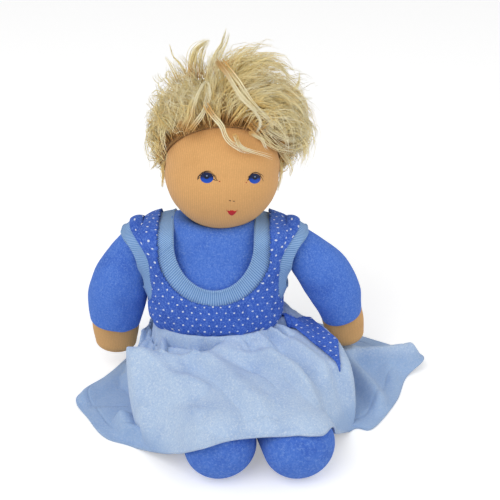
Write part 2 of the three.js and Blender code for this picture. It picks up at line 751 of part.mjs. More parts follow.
const folds = foldShares.map(({ from, to, height, width }) => ({
  from: new THREE.Vector2(from[0] * skirtRight, from[1] * skirtFront),
  to: new THREE.Vector2(to[0] * skirtRight, to[1] * skirtFront),
  height: height * foldHeight,
  width: width * foldWidth,
}));

const legWay = new THREE.Vector3(Math.sin(legTurn), -Math.cos(legTurn), 0);
const hipMiddle = new THREE.Vector3(0, -hipForward, 0);
const ease = (value, from, to) => THREE.MathUtils.smoothstep(value, from, to);
const bump = (away, width) => Math.exp(-((away / width) ** 2));
const skirtFloor = dressCloth / 2 + touchGap;
const handTips = armFrames.flatMap(({ shoulder }, i) => [0, armLower].map((lower) => {
  const { sign, lift } = sides[i];
  const tip = new THREE.Vector3(sign * armOut, 0, -armLength);
  return tip.applyAxisAngle(new THREE.Vector3(0, -sign, 0), lift - lower).applyMatrix4(shoulder.matrixWorld);
}));

function waistPoint(turn) {
  const s = Math.sin(turn);
  const c = Math.cos(turn);
  const full = (value) => Math.sign(value) * Math.abs(value) ** (2 / torsoForm.fullness);
  const x = full(s) * (bodiceWidth * bodiceWidthShares[0] - dressCloth) / 2;
  const y = -full(c) * (bodiceDepth * bodiceDepthShares[0] - dressCloth) / 2;
  const point = new THREE.Vector3(x, y, bodiceWaist - dressCloth - touchGap);
  return point.applyMatrix4(torsoFrame.matrixWorld);
}

// Distance of a place from a straight line, and the share of the way along it
function fromLine(place, start, end) {
  const way = end.clone().sub(start);
  const share = THREE.MathUtils.clamp(place.clone().sub(start).dot(way) / way.lengthSq(), 0, 1);
  return { away: place.distanceTo(start.clone().addScaledVector(way, share)), share };
}

// How far a place lies outside the lap's two edges, and their heights there
function lapEdges(place) {
  const share = THREE.MathUtils.clamp((lapBack - place.y) / (lapBack + skirtFront), 0, 1);
  const left = -lapLeft * along(leftEdgeShares, share);
  const right = lapRight * along(rightEdgeShares, share);
  const outside = Math.max(left - place.x, place.x - right);
  return { share, left, right, outside };
}

// Height of the cloth where it lies over the lap
function lapCloth(place) {
  const forward = new THREE.Vector3(place.x, place.y, 0).sub(hipMiddle).dot(legWay);
  const { share, left, right, outside } = lapEdges(place);
  const leftTop = lapHeight * along(leftHeightShares, share);
  const rightTop = lapHeight * along(rightHeightShares, share);
  let lap = lapHeight * along(lapTopShares, THREE.MathUtils.clamp(forward / lapReach, 0, 1));
  lap += (Math.min(leftTop, lap) - lap) * ease(-place.x, lapCentre, -left);
  lap += (Math.min(rightTop, lap) - lap) * ease(place.x, lapOuter, right);
  const inside = 1 - ease(outside, -lapDrop * lapDropStartShare, lapDrop * (1 - lapDropStartShare));
  return place.y > lapBack ? skirtFloor : skirtFloor + (lap - skirtFloor) * inside;
}

// The ridge in front of the waist stands up, and the cloth behind it falls into a valley
function ridgeRise(place, lap) {
  const near = ridge.slice(1).map((end, i) => ({ ...fromLine(place, ridge[i], end), i }))
    .reduce((a, b) => (a.away < b.away ? a : b));
  const onRidge = ridge[near.i].clone().lerp(ridge[near.i + 1], near.share);
  const fade = 1 - ease((near.i + near.share) / (ridge.length - 1), ridgeFadeShare, 1);
  const isBehind = place.y > onRidge.y && place.x < ridge.at(-1).x;
  const valley = isBehind ? valleyDepth * ease(near.away, 0, valleyWidth) : 0;
  const onLap = ease(lap, lapHeight * ridgeLowShare, lapHeight * ridgeHighShare);
  return ((ridgeHeight - lap) * bump(near.away, ridgeWidth) * onLap - valley) * fade;
}

// Height that the cloth needs to clear each leg
function legRoom(point) {
  const clear = footHeight / 2 + legClearance;
  return Math.max(...legFrames.map((frame) => {
    const local = frame.worldToLocal(point.clone().setZ(hipHeight));
    const past = Math.max(0, footRound - legLength - local.y);
    const off = Math.hypot(local.x, past);
    return local.y < 0 && off < clear ? hipHeight + Math.sqrt(clear ** 2 - off ** 2) : 0;
  }));
}

// Height that the cloth may have beside each hand, which presses it down
function handLimit(point) {
  const limits = handTips.map((tip) => {
    const away = Math.max(0, Math.hypot(point.x - tip.x, point.y - tip.y) - handWidth / 2);
    return tip.z - dressCloth - turningGap + away * handSlopeShare;
  });
  return Math.min(...limits);
}

function skirtPoint(turn, share) {
  const waist = waistPoint(turn);
  const hem = hemOutline.getPoint(THREE.MathUtils.euclideanModulo(turn / (2 * Math.PI), 1));
  const point = waist.clone().lerp(hem, share);
  const place = new THREE.Vector2(point.x, point.y);
  const run = place.distanceTo(new THREE.Vector2(waist.x, waist.y));
  const slope = waist.z * (1 - ease(run, 0, skirtBackRun));
  const flat = lapCloth(place);
  const lap = flat + ridgeRise(place, flat);
  const fromWaist = THREE.MathUtils.lerp(waist.z, lap, ease(run, 0, waistRun));
  const overLap = ease(lap, lapHeight / 4, lapHeight / 2);
  let height = THREE.MathUtils.lerp(Math.max(slope, lap), fromWaist, overLap);
  height += gatherHeight * Math.cos(skirtGathers * turn) * ease(run, 0, waistRun / 2)
    * (1 - ease(run, waistRun, gatherRun));
  const folded = ease(run, waistRun, gatherRun);
  folds.forEach((fold) => {
    height += fold.height * bump(fromLine(place, fold.from, fold.to).away, fold.width) * folded;
  });
  height = THREE.MathUtils.lerp(height, hem.z, ease(share, hemFromShare, 1) ** hemPower);
  height = Math.max(height, legRoom(point) * ease(run, 0, waistRun / 2));
  point.z = share ? Math.max(skirtFloor, Math.min(height, handLimit(point))) : waist.z;
  return point;
}

// A grid of places, each moved out of the cloth's face
function liftGrid(grid, lift, closed) {
  const last = grid.length - 1;
  const normal = (i, j) => {
    const column = grid[i];
    const before = closed ? grid.at(i - 1) : grid[Math.max(i - 1, 0)];
    const after = closed ? grid[(i + 1) % grid.length] : grid[Math.min(i + 1, last)];
    const along = after[j].clone().sub(before[j]);
    const down = column[Math.min(j + 1, column.length - 1)].clone().sub(column[Math.max(j - 1, 0)]);
    return down.cross(along).normalize();
  };
  return grid.map((column, i) => column.map((place, j) => place.clone().addScaledVector(normal(i, j), lift)));
}

// A cloth of even thickness over a grid of places, lifted off them
function cloth(grid, thickness, lift, closed) {
  const over = liftGrid(grid, lift + thickness / 2, closed);
  const under = liftGrid(grid, lift - thickness / 2, closed);
  if (closed) return closedStrip(over.map((column, i) => [...under[i], ...column.toReversed()]));
  return patch(over, under);
}

// A closed solid between two open grids of points
function patch(over, under) {
  const columns = over.length;
  const rows = over[0].length;
  const points = [...over.flat(), ...under.flat()];
  const top = (i, j) => i * rows + j;
  const bottom = (i, j) => columns * rows + top(i, j);
  const faces = [];
  const quad = (a, b, c, d) => faces.push(a, b, c, a, c, d);
  for (let i = 0; i < columns - 1; i += 1) {
    for (let j = 0; j < rows - 1; j += 1) {
      quad(top(i, j), top(i, j + 1), top(i + 1, j + 1), top(i + 1, j));
      quad(bottom(i, j), bottom(i + 1, j), bottom(i + 1, j + 1), bottom(i, j + 1));
    }
  }
  for (let i = 0; i < columns - 1; i += 1) {
    quad(top(i + 1, 0), bottom(i + 1, 0), bottom(i, 0), top(i, 0));
    quad(top(i, rows - 1), bottom(i, rows - 1), bottom(i + 1, rows - 1), top(i + 1, rows - 1));
  }
  for (let j = 0; j < rows - 1; j += 1) {
    quad(top(0, j), bottom(0, j), bottom(0, j + 1), top(0, j + 1));
    quad(top(columns - 1, j + 1), bottom(columns - 1, j + 1), bottom(columns - 1, j), top(columns - 1, j));
  }
  const geometry = new THREE.BufferGeometry();
  geometry.setAttribute('position', new THREE.Float32BufferAttribute(points.flatMap((p) => p.toArray()), 3));
  geometry.setIndex(faces);
  return geometry;
}

// Rows of the skirt: at the waist, the valley, the ridge, down the lap's edge and on to the hem
function skirtShares(turn) {
  const waist = waistPoint(turn).setZ(0);
  const hem = hemOutline.getPoint(turn / (2 * Math.PI)).setZ(0);
  const run = waist.distanceTo(hem);
  const crossing = Array.from({ length: edgeTries }, (_, i) => (i + 1) / edgeTries).find((share) => {
    const place = waist.clone().lerp(hem, share);
    return lapEdges(place).outside > 0 && place.y < lapBack;
  }) ?? 1;
  const top = Math.max(Math.min(crossing, lapShareMost) - lapDrop * lapDropStartShare / run, lapShareLeast);
  const foot = Math.min(top + lapDrop / run, lapFootMost);
  const first = Math.min(ridgeRun / run, ridgeShareMost * top);
  const knots = [0, first / 2, first, (2 * first + top) / 3, (first + 2 * top) / 3, top, foot];
  return [...knots, ...outerShares.map((share) => foot + share * (1 - foot))];
}

const skirtGrid = Array.from({ length: skirtColumns }, (_, i) => {
  const turn = (i / skirtColumns) * 2 * Math.PI;
  return skirtShares(turn).map((share) => skirtPoint(turn, share));
});
addPiece(doll, 'skirt', cloth(skirtGrid, dressCloth, 0, true), looks.skirt);

// Pocket: a patch sewn on the skirt beside the left hand, between columns and rows of the skirt
const skirtFace = liftGrid(skirtGrid, dressCloth / 2, true);
const onSkirt = (x, y) => {
  const column = Math.floor(x);
  const row = Math.floor(y);
  const [across, down] = [x - column, y - row];
  const isNear = across + down < 1;
  const [[a, b], [c, d]] = [column, column + 1].map((i) => [row, row + 1].map((j) => skirtFace[i][j]));
  const base = isNear ? a : d;
  const [toSide, toRow] = isNear ? [c, b] : [b, c];
  const [side, along] = isNear ? [across, down] : [1 - across, 1 - down];
  return base.clone().addScaledVector(toSide.clone().sub(base), side).addScaledVector(toRow.clone().sub(base), along);
};
const pocketSpans = Array.from({ length: pocketSteps + 1 }, (_, i) => i / pocketSteps);
const rowCount = Math.round((pocketRows[1] - pocketRows[0]) / pocketRowStep);
const pocketLines = Array.from({ length: rowCount + 1 }, (_, i) => i / rowCount);
const pocketGrid = pocketSpans.map((share) => pocketLines.map((down) => {
  const row = THREE.MathUtils.lerp(...pocketRows, down);
  const [open, sewn] = [pocketOpening, pocketSeam].map(([from, to]) => THREE.MathUtils.lerp(from, to, down));
  return onSkirt(THREE.MathUtils.lerp(open, sewn, share), row);
}));
addPiece(doll, 'pocket', cloth(pocketGrid, pocketCloth, pocketCloth / 2 + pocketLift, false), looks.dots);

// The seat's flat comes to the origin
doll.position.y = hipForward - thighRadius - turningGap - seatInset;

export default doll;
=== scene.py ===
import json
import math

import bpy
import numpy as np
from mathutils import Matrix, Vector
from mathutils.bvhtree import BVHTree


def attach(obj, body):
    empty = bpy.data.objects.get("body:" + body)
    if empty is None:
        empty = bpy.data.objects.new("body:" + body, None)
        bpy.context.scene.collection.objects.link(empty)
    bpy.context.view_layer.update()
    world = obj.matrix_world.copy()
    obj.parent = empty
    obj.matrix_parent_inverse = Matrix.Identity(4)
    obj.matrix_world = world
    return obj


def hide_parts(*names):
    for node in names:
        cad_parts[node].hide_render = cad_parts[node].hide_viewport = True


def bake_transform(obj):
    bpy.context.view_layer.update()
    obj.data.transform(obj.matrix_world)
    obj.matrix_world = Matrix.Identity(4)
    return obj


# Waldorf doll, sitting, in metres, Z up, facing -Y
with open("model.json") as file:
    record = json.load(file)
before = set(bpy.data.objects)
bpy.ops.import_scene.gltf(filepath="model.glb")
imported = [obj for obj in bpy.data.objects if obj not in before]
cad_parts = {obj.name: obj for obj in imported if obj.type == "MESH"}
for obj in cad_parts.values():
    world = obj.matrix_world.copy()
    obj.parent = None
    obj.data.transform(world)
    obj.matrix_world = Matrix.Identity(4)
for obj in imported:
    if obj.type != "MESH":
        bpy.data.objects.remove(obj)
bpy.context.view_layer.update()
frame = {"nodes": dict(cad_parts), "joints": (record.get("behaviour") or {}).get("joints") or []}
joints = {joint["name"]: joint for joint in frame["joints"]}
mm = 0.001
print("frame loaded", len(frame["nodes"]), "nodes")

# The doll's own frames, from its joints
posture = {
    "neckHeight": 151 * mm, "headTilt": 10.5, "headRoll": 5.3, "headTurn": 10.75,
    "legTurn": 18.0, "rightLift": 3.0, "leftLift": 12.0,
}
neckPoint = Vector(joints["head_turn"]["pos_m"])
leanAxis = Vector(joints["head_turn"]["axis"])
lean = math.atan2(leanAxis.y, leanAxis.z)
torsoMatrix = (
    Matrix.Translation(neckPoint)
    @ Matrix.Rotation(-lean, 4, "X")
    @ Matrix.Translation((0, 0, -posture["neckHeight"]))
)
headMatrix = (
    Matrix.Translation(neckPoint)
    @ Matrix.Rotation(-lean, 4, "X")
    @ Matrix.Rotation(math.radians(posture["headRoll"]), 4, "Y")
    @ Matrix.Rotation(-math.radians(posture["headTilt"]), 4, "X")
    @ Matrix.Rotation(math.radians(posture["headTurn"]), 4, "Z")
)


# The photograph's camera, fitted to the doll; angles in degrees
view = {
    "elevation": 29.74,
    "distance": 944.3 * mm,
    "target": Vector((30.81, -24.45, 138.2)) * mm,
    "focalPixels": 1089.3,
    "frame": 500,
    "sensor": 36.0,
}


def cameraAxes():
    tilt = math.radians(view["elevation"])
    forward = Vector((0, math.cos(tilt), -math.sin(tilt)))
    up = Vector((0, math.sin(tilt), math.cos(tilt)))
    return forward, Vector((1, 0, 0)), up


def addCamera():
    forward, _, _ = cameraAxes()
    bpy.ops.object.camera_add(location=view["target"] - forward * view["distance"])
    camera = bpy.context.active_object
    camera.name = "photoCamera"
    camera.rotation_euler = (math.radians(90 - view["elevation"]), 0, 0)
    camera.data.sensor_width = view["sensor"]
    camera.data.lens = view["sensor"] * view["focalPixels"] / view["frame"]
    camera.data.clip_end = 20
    bpy.context.scene.camera = camera


def pixelRay(x, y):
    # A ray from the camera through a pixel of the 500 by 500 frame
    forward, right, up = cameraAxes()
    middle = view["frame"] / 2
    direction = forward * view["focalPixels"] + right * (x - middle) + up * (middle - y)
    return view["target"] - forward * view["distance"], direction.normalized()


# Small tools for meshes
def deselectAll():
    if bpy.context.active_object and bpy.context.active_object.mode != "OBJECT":
        bpy.ops.object.mode_set(mode="OBJECT")
    bpy.ops.object.select_all(action="DESELECT")


def pick(piece):
    deselectAll()
    piece.select_set(True)
    bpy.context.view_layer.objects.active = piece


def readPoints(piece):
    points = np.zeros(len(piece.data.vertices) * 3)
    piece.data.vertices.foreach_get("co", points)
    return points.reshape(-1, 3)


def writePoints(piece, points):
    piece.data.vertices.foreach_set("co", np.asarray(points, float).ravel())
    piece.data.update()


def moved(points, matrix):
    rows = np.array(matrix, float)
    return points @ rows[:3, :3].T + rows[:3, 3]


def applyModifier(piece, kind, **settings):
    pick(piece)
    modifier = piece.modifiers.new(kind.title(), kind)
    for name, value in settings.items():
        setattr(modifier, name, value)
    bpy.ops.object.modifier_apply(modifier=modifier.name)


def smoothSurface(piece, levels):
    applyModifier(piece, "SUBSURF", levels=levels, render_levels=levels)
    pick(piece)
    bpy.ops.object.shade_smooth()


def addBall(name, segments, rings):
    deselectAll()
    bpy.ops.mesh.primitive_uv_sphere_add(segments=segments, ring_count=rings, radius=1)
    piece = bpy.context.active_object
    piece.name = name
    return piece


def addGrid(name, columns, rows):
    # A unit grid whose own UV map runs from 0 to 1 both ways
    deselectAll()
    bpy.ops.mesh.primitive_grid_add(x_subdivisions=columns, y_subdivisions=rows, size=1)
    piece = bpy.context.active_object
    piece.name = name
    writePoints(piece, readPoints(piece) + [0.5, 0.5, 0])
    return piece


def editWhole(piece, change):
    # Runs a change of the mesh with the whole piece selected
    pick(piece)
    bpy.ops.object.mode_set(mode="EDIT")
    bpy.ops.mesh.select_all(action="SELECT")
    change()
    bpy.ops.object.mode_set(mode="OBJECT")


def faceOutward():
    bpy.ops.mesh.normals_make_consistent(inside=False)


def weld(piece, distance=0.02 * mm):
    editWhole(piece, lambda: (bpy.ops.mesh.remove_doubles(threshold=distance), faceOutward()))


def thicken(piece, thickness, offset):
    applyModifier(piece, "SOLIDIFY", thickness=thickness, offset=offset)
    pick(piece)
    bpy.ops.object.shade_smooth()


def faceArea(piece):
    return sum(face.area for face in piece.data.polygons)


def rayTree(points, piece):
    # A tree for rays through the piece's faces, with its points at the places given
    return BVHTree.FromPolygons([Vector(p) for p in points], [list(f.vertices) for f in piece.data.polygons])


def setUv(piece, places):
    # One UV place for each vertex
    layer = piece.data.uv_layers.active or piece.data.uv_layers.new(name="UVMap")
    loops = np.zeros(len(piece.data.loops), int)
    piece.data.loops.foreach_get("vertex_index", loops)
    layer.data.foreach_set("uv", np.asarray(places, float)[loops].ravel())


def ease(value, low, high):
    share = np.clip((value - low) / (high - low + 1e-12), 0, 1)
    return share * share * (3 - 2 * share)


def bell(value, width):
    # One at zero, falling away on both sides
    return np.exp(-((value / width) ** 2))


def spline(values, share):
    # A smooth curve through evenly spaced values
    values = np.asarray(values, float)
    spans = len(values) - 1
    place = np.clip(share, 0, 1) * spans
    low = np.minimum(place.astype(int), spans - 1)
    t = place - low
    before = values[np.maximum(low - 1, 0)]
    after = values[np.minimum(low + 2, spans)]
    a, b = values[low], values[low + 1]
    if values.ndim > 1:
        t = t[:, None]
    return 0.5 * (2 * a + (b - before) * t + (2 * before - 5 * a + 4 * b - after) * t**2
                  + (3 * a - before - 3 * b + after) * t**3)


def softNoise(points, size, seed):
    # Smooth noise from sums of turned waves, the same on each run
    octaves, waves, fall = 2, 7, 1.6
    draw = np.random.default_rng(seed)
    total = np.zeros(len(points))
    for octave in range(octaves):
        scale = size / 2**octave
        for _ in range(waves):
            way = draw.normal(size=3)
            way /= np.linalg.norm(way)
            pitch = scale * draw.uniform(0.7, 1.5)
            turn = points @ way * (2 * math.pi / pitch) + draw.uniform(0, 6.3)
            total += np.sin(turn) / waves / fall**octave
    return total


def outward(piece):
    normals = np.zeros(len(piece.data.vertices) * 3)
    piece.data.vertex_normals.foreach_get("vector", normals)
    return normals.reshape(-1, 3)


def unitRows(rows):
    return rows / np.maximum(np.linalg.norm(rows, axis=-1, keepdims=True), 1e-9)


def swell(piece, amount):
    writePoints(piece, readPoints(piece) + outward(piece) * np.asarray(amount)[:, None])


# Materials
def newMaterial(name, color, roughness, sheen=0.0, sheenTint=(1, 1, 1)):
    material = bpy.data.materials.new(name)
    material.use_nodes = True
    shader = material.node_tree.nodes["Principled BSDF"]
    shader.inputs["Base Color"].default_value = (*color, 1)
    shader.inputs["Roughness"].default_value = roughness
    shader.inputs["Specular IOR Level"].default_value = 0.2
    shader.inputs["Sheen Weight"].default_value = sheen
    shader.inputs["Sheen Roughness"].default_value = 0.5
    shader.inputs["Sheen Tint"].default_value = (*sheenTint, 1)
    return material, material.node_tree, shader


def linear(red, green, blue):
    # A colour given as 0 to 255 on a screen
    def channel(value):
        value /= 255
        return value / 12.92 if value <= 0.04045 else ((value + 0.055) / 1.055) ** 2.4
    return channel(red), channel(green), channel(blue)


def addNode(tree, kind, **settings):
    node = tree.nodes.new(kind)
    for name, value in settings.items():
        if name in node.inputs:
            node.inputs[name].default_value = value
        else:
            setattr(node, name, value)
    return node


def noiseNode(tree, source, size, detail=2.0, roughness=0.5):
    node = addNode(tree, "ShaderNodeTexNoise", Scale=1 / size, Detail=detail, Roughness=roughness)
    tree.links.new(source, node.inputs["Vector"])
    return node.outputs["Fac"]


def mixColor(tree, share, first, second):
    node = tree.nodes.new("ShaderNodeMix")
    node.data_type = "RGBA"
    for socket, value in ((node.inputs[6], first), (node.inputs[7], second)):
        if isinstance(value, tuple):
            socket.default_value = (*value, 1)
        else:
            tree.links.new(value, socket)
    tree.links.new(share, node.inputs[0])
    return node.outputs[2]


def rangeNode(tree, value, low, high, toLow=0.0, toHigh=1.0):
    node = addNode(tree, "ShaderNodeMapRange")
    node.interpolation_type = "SMOOTHSTEP"
    node.inputs["From Min"].default_value = low
    node.inputs["From Max"].default_value = high
    node.inputs["To Min"].default_value = toLow
    node.inputs["To Max"].default_value = toHigh
    tree.links.new(value, node.inputs["Value"])
    return node.outputs["Result"]


def calculate(tree, operation, first, second=None):
    node = addNode(tree, "ShaderNodeMath", operation=operation)
    for socket, value in zip(node.inputs, (first, second)):
        if value is None:
            continue
        if isinstance(value, (int, float)):
            socket.default_value = value
        else:
            tree.links.new(value, socket)
    return node.outputs[0]


def addBump(tree, shader, height, distance, strength=1.0):
    bump = addNode(tree, "ShaderNodeBump", Strength=strength, Distance=distance)
    tree.links.new(height, bump.inputs["Height"])
    if shader.inputs["Normal"].links:
        tree.links.new(shader.inputs["Normal"].links[0].from_socket, bump.inputs["Normal"])
    tree.links.new(bump.outputs["Normal"], shader.inputs["Normal"])


def distanceTo(tree, x, y, middleX, middleY):
    squares = [calculate(tree, "POWER", calculate(tree, "SUBTRACT", value, middle), 2.0)
               for value, middle in ((x, middleX), (y, middleY))]
    return calculate(tree, "POWER", calculate(tree, "ADD", *squares), 0.5)


def objectPlace(tree):
    return addNode(tree, "ShaderNodeTexCoord").outputs["Object"]


def uvPlace(tree):
    return addNode(tree, "ShaderNodeTexCoord").outputs["UV"]


def uvAxes(tree, place=None):
    # The two axes of the UV map, or of the place given
    split = addNode(tree, "ShaderNodeSeparateXYZ")
    tree.links.new(place or uvPlace(tree), split.inputs[0])
    return split.outputs["X"], split.outputs["Y"]


def setTone(tree, shader, tone):
    tree.links.new(tone, shader.inputs["Base Color"])


def velourMaterial(name, colors, pile):
    # Cotton velour: short pile that turns light and dark as it lies
    light, middle, dark = (colors[key] for key in ("light", "middle", "dark"))
    material, tree, shader = newMaterial(name, middle, 0.95, 0.35, light)
    place = objectPlace(tree)
    lay = noiseNode(tree, place, pile["patch"])
    grain = noiseNode(tree, place, pile["grain"], 3.0, 0.7)
    fine = noiseNode(tree, place, pile["grain"] * 0.4, 2.0, 0.7)
    tone = mixColor(tree, rangeNode(tree, lay, 0.0, 0.6), dark, middle)
    shares = [calculate(tree, "MULTIPLY", value, share) for value, share in ((grain, 0.6), (fine, 0.4))]
    speck = calculate(tree, "ADD", *shares)
    tone = mixColor(tree, rangeNode(tree, speck, 0.46, 0.68, 0, 0.75), tone, light)
    tone = mixColor(tree, rangeNode(tree, speck, 0.48, 0.3, 0, 0.6), tone, dark)
    setTone(tree, shader, tone)
    addBump(tree, shader, speck, pile["height"], 0.8)
    return material, tree, shader, tone


blue = {"light": linear(128, 164, 230), "middle": linear(78, 122, 214), "dark": linear(52, 92, 190)}
pale = {"light": linear(222, 232, 245), "middle": linear(180, 203, 232), "dark": linear(150, 178, 220)}
deep = {"light": blue["light"], "middle": linear(58, 98, 198), "dark": linear(34, 68, 165)}
velour = velourMaterial("blueVelour", blue, {"patch": 22 * mm, "grain": 1.7 * mm, "height": 1.0 * mm})[0]
terry = velourMaterial("blueTerry", blue, {"patch": 16 * mm, "grain": 2.4 * mm, "height": 2.0 * mm})[0]


def skirtMaterial():
    # Paler velour, with painted shade: a deeper blue where the cloth lies low on the floor, as its UV map says
    pile = {"patch": 26 * mm, "grain": 1.7 * mm, "height": 0.9 * mm}
    material, tree, shader, tone = velourMaterial("skirtVelour", pale, pile)
    low, _ = uvAxes(tree)
    # Painted shade: the cloth low on the floor is mixed towards a deeper blue
    setTone(tree, shader, mixColor(tree, rangeNode(tree, low, 0, 1, 0, 0.5), tone, linear(132, 166, 212)))
    return material


def dottedMaterial():
    # The blue velour with small white stitches in staggered rows, laid out on the cloth's own UV map
    dots = {"across": 9.4, "along": 6.2, "wide": 1.0, "high": 0.8, "stray": 3.2}
    pile = {"patch": 20 * mm, "grain": 1.6 * mm, "height": 0.9 * mm}
    material, tree, shader, tone = velourMaterial("dottedVelour", deep, pile)
    uv = uvPlace(tree)
    wobble = addNode(tree, "ShaderNodeTexNoise", Scale=0.12, Detail=1.0)
    tree.links.new(uv, wobble.inputs["Vector"])
    shift = addNode(tree, "ShaderNodeVectorMath", operation="MULTIPLY_ADD")
    tree.links.new(wobble.outputs["Color"], shift.inputs[0])
    shift.inputs[1].default_value = (dots["stray"], dots["stray"], 0)
    tree.links.new(uv, shift.inputs[2])
    x, y = uvAxes(tree, shift.outputs[0])
    row = calculate(tree, "DIVIDE", y, dots["along"])
    rowNumber = calculate(tree, "ABSOLUTE", calculate(tree, "FLOOR", row))
    odd = calculate(tree, "MULTIPLY", calculate(tree, "MODULO", rowNumber, 2.0), 0.5)
    column = calculate(tree, "ADD", calculate(tree, "DIVIDE", x, dots["across"]), odd)
    squares = []
    for value, pitch, size in ((column, dots["across"], dots["wide"]), (row, dots["along"], dots["high"])):
        off = calculate(tree, "SUBTRACT", calculate(tree, "FRACT", value), 0.5)
        squares.append(calculate(tree, "POWER", calculate(tree, "MULTIPLY", off, pitch / size), 2.0))
    dot = rangeNode(tree, calculate(tree, "ADD", *squares), 1.35, 0.55)
    setTone(tree, shader, mixColor(tree, dot, tone, linear(226, 234, 248)))
    addBump(tree, shader, dot, 0.35 * mm, 0.6)
    return material


# The pitch of one rib on the bands, in millimetres
ribPitch = 2.0


def ribMaterial():
    material, tree, shader = newMaterial("ribKnit", linear(124, 164, 214), 0.85, 0.25, linear(190, 212, 240))
    grain = noiseNode(tree, objectPlace(tree), 0.5 * mm)
    along, _ = uvAxes(tree)
    wave = calculate(tree, "COSINE", calculate(tree, "MULTIPLY", along, 2 * math.pi / ribPitch))
    rib = calculate(tree, "ADD", calculate(tree, "MULTIPLY", wave, 0.5), 0.5)
    # Painted shade and light: the ribs' valleys are coloured darker and their crests lighter
    tone = mixColor(tree, rangeNode(tree, rib, 0.0, 0.75), linear(98, 142, 204), linear(156, 192, 232))
    tone = mixColor(tree, rangeNode(tree, grain, 0.5, 0.75, 0, 0.3), tone, linear(178, 204, 236))
    setTone(tree, shader, tone)
    addBump(tree, shader, rib, 0.5 * mm, 0.9)
    addBump(tree, shader, grain, 0.2 * mm, 0.6)
    return material


def jerseyMaterial(name, tone, shade, direction):
    # Fine cotton jersey: upright wales of small stitches
    walePitch = 1.5 * mm
    material, tree, shader = newMaterial(name, tone, 0.8, 0.12)
    place = objectPlace(tree)
    turn = addNode(tree, "ShaderNodeMapping")
    turn.inputs["Rotation"].default_value = direction
    tree.links.new(place, turn.inputs["Vector"])
    # A wave texture repeats 10 / pi times over one unit
    wales = addNode(tree, "ShaderNodeTexWave", Scale=math.pi / 10 / walePitch, Distortion=1.2, Detail=2.0)
    wales.inputs["Detail Scale"].default_value = 1.5
    tree.links.new(turn.outputs[0], wales.inputs["Vector"])
    grain = noiseNode(tree, place, 1.3 * mm, 3.0, 0.6)
    patch = noiseNode(tree, place, 18 * mm)
    color = mixColor(tree, rangeNode(tree, patch, -0.2, 0.5), shade, tone)
    light = tuple(min(1, c * 1.18 + 0.01) for c in tone)
    color = mixColor(tree, rangeNode(tree, grain, 0.42, 0.7, 0, 0.45), color, light)
    # Painted shade: the grooves between the wales are coloured darker
    color = mixColor(tree, rangeNode(tree, wales.outputs["Fac"], 0.6, 0.0, 0, 0.36), color, shade)
    setTone(tree, shader, color)
    addBump(tree, shader, wales.outputs["Fac"], 0.12 * mm, 0.5)
    addBump(tree, shader, grain, 0.12 * mm, 0.5)
    return material


def plainMaterial(name, color, roughness, grainSize, depth):
    # A thread or yarn finish with a little grain
    material, tree, shader = newMaterial(name, color, roughness, 0.15)
    grain = noiseNode(tree, objectPlace(tree), grainSize)
    darker = tuple(c * 0.65 for c in color)
    setTone(tree, shader, mixColor(tree, rangeNode(tree, grain, 0.3, 0.7), darker, color))
    addBump(tree, shader, grain, depth, 0.7)
    return material


skirtVelour = skirtMaterial()
dottedVelour = dottedMaterial()
ribKnit = ribMaterial()
walesTurn = (0, 0, -math.radians(posture["headTurn"]))
faceJersey = jerseyMaterial("faceJersey", linear(220, 168, 108), linear(196, 144, 86), walesTurn)
handJersey = jerseyMaterial("handJersey", linear(214, 166, 108), linear(192, 144, 90), (0, 0, 0))
wool = plainMaterial("cardedWool", linear(238, 232, 214), 0.95, 2 * mm, 1 * mm)
thread = plainMaterial("linenThread", linear(228, 214, 184), 0.7, 0.6 * mm, 0.2 * mm)
blueThread = plainMaterial("blueThread", linear(52, 84, 168), 0.7, 0.6 * mm, 0.2 * mm)
scalp = plainMaterial("wigCap", linear(168, 128, 76), 0.9, 1.2 * mm, 0.6 * mm)


def finish(piece, material, body, slotName, *nodes):
    piece.data.materials.clear()
    piece.data.materials.append(material)
    if body == "lap":
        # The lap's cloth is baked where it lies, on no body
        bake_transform(piece)
    else:
        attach(piece, body)
    if nodes:
        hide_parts(*nodes)
    return piece


def squared(wave, power):
    # A wave made fuller or sharper, with its sign kept
    return np.sign(wave) * np.abs(wave) ** power


# Stuffed forms
def stuffedPoints(unit, form):
    # Carries a unit ball's points onto a rounded form along a path
    angle = np.arccos(np.clip(unit[:, 2], -1, 1)) / math.pi
    turn = np.arctan2(unit[:, 1], unit[:, 0])
    first, last = form["capShares"]
    power = form.get("capPower", 2.0)
    start = np.clip(angle / first, 0, 1)
    end = np.clip((angle - last) / (1 - last), 0, 1)
    middle = np.clip((angle - first) / (last - first), 0, 1)

    def rounded(wave, share):
        return wave(share * math.pi / 2) ** (2 / power)

    scale = np.where(angle < first, rounded(np.sin, start), np.where(angle > last, rounded(np.cos, end), 1.0))
    past = np.where(angle < first, -form["startRound"] * rounded(np.cos, start),
                    np.where(angle > last, form["endRound"] * rounded(np.sin, end), 0.0))
    fullness = form.get("fullness", 2.0)
    centres = spline(form["centres"], middle)
    wide = spline(form["widths"], middle) / 2 * scale
    deep = spline(form["depths"], middle) / 2 * scale
    u = squared(np.cos(turn), 2 / fullness) * wide
    v = squared(np.sin(turn), 2 / fullness) * deep
    step = 0.01
    ahead = spline(form["centres"], middle + step) - spline(form["centres"], middle - step)
    ahead /= np.linalg.norm(ahead, axis=1)[:, None]
    across = np.tile(np.array((1.0, 0, 0)), (len(unit), 1))
    across -= ahead * np.sum(across * ahead, axis=1)[:, None]
    across /= np.linalg.norm(across, axis=1)[:, None]
    front = np.cross(ahead, across)
    return centres + across * u[:, None] + front * v[:, None] + ahead * past[:, None]


def addStuffed(name, form, matrix, segments=64, rings=48):
    piece = addBall(name, segments, rings)
    points = stuffedPoints(readPoints(piece), form)
    writePoints(piece, moved(points * mm, matrix))
    weld(piece)
    return piece


def restOnFloor(piece):
    points = readPoints(piece)
    points[:, 2] = np.maximum(points[:, 2], 0.0)
    writePoints(piece, points)


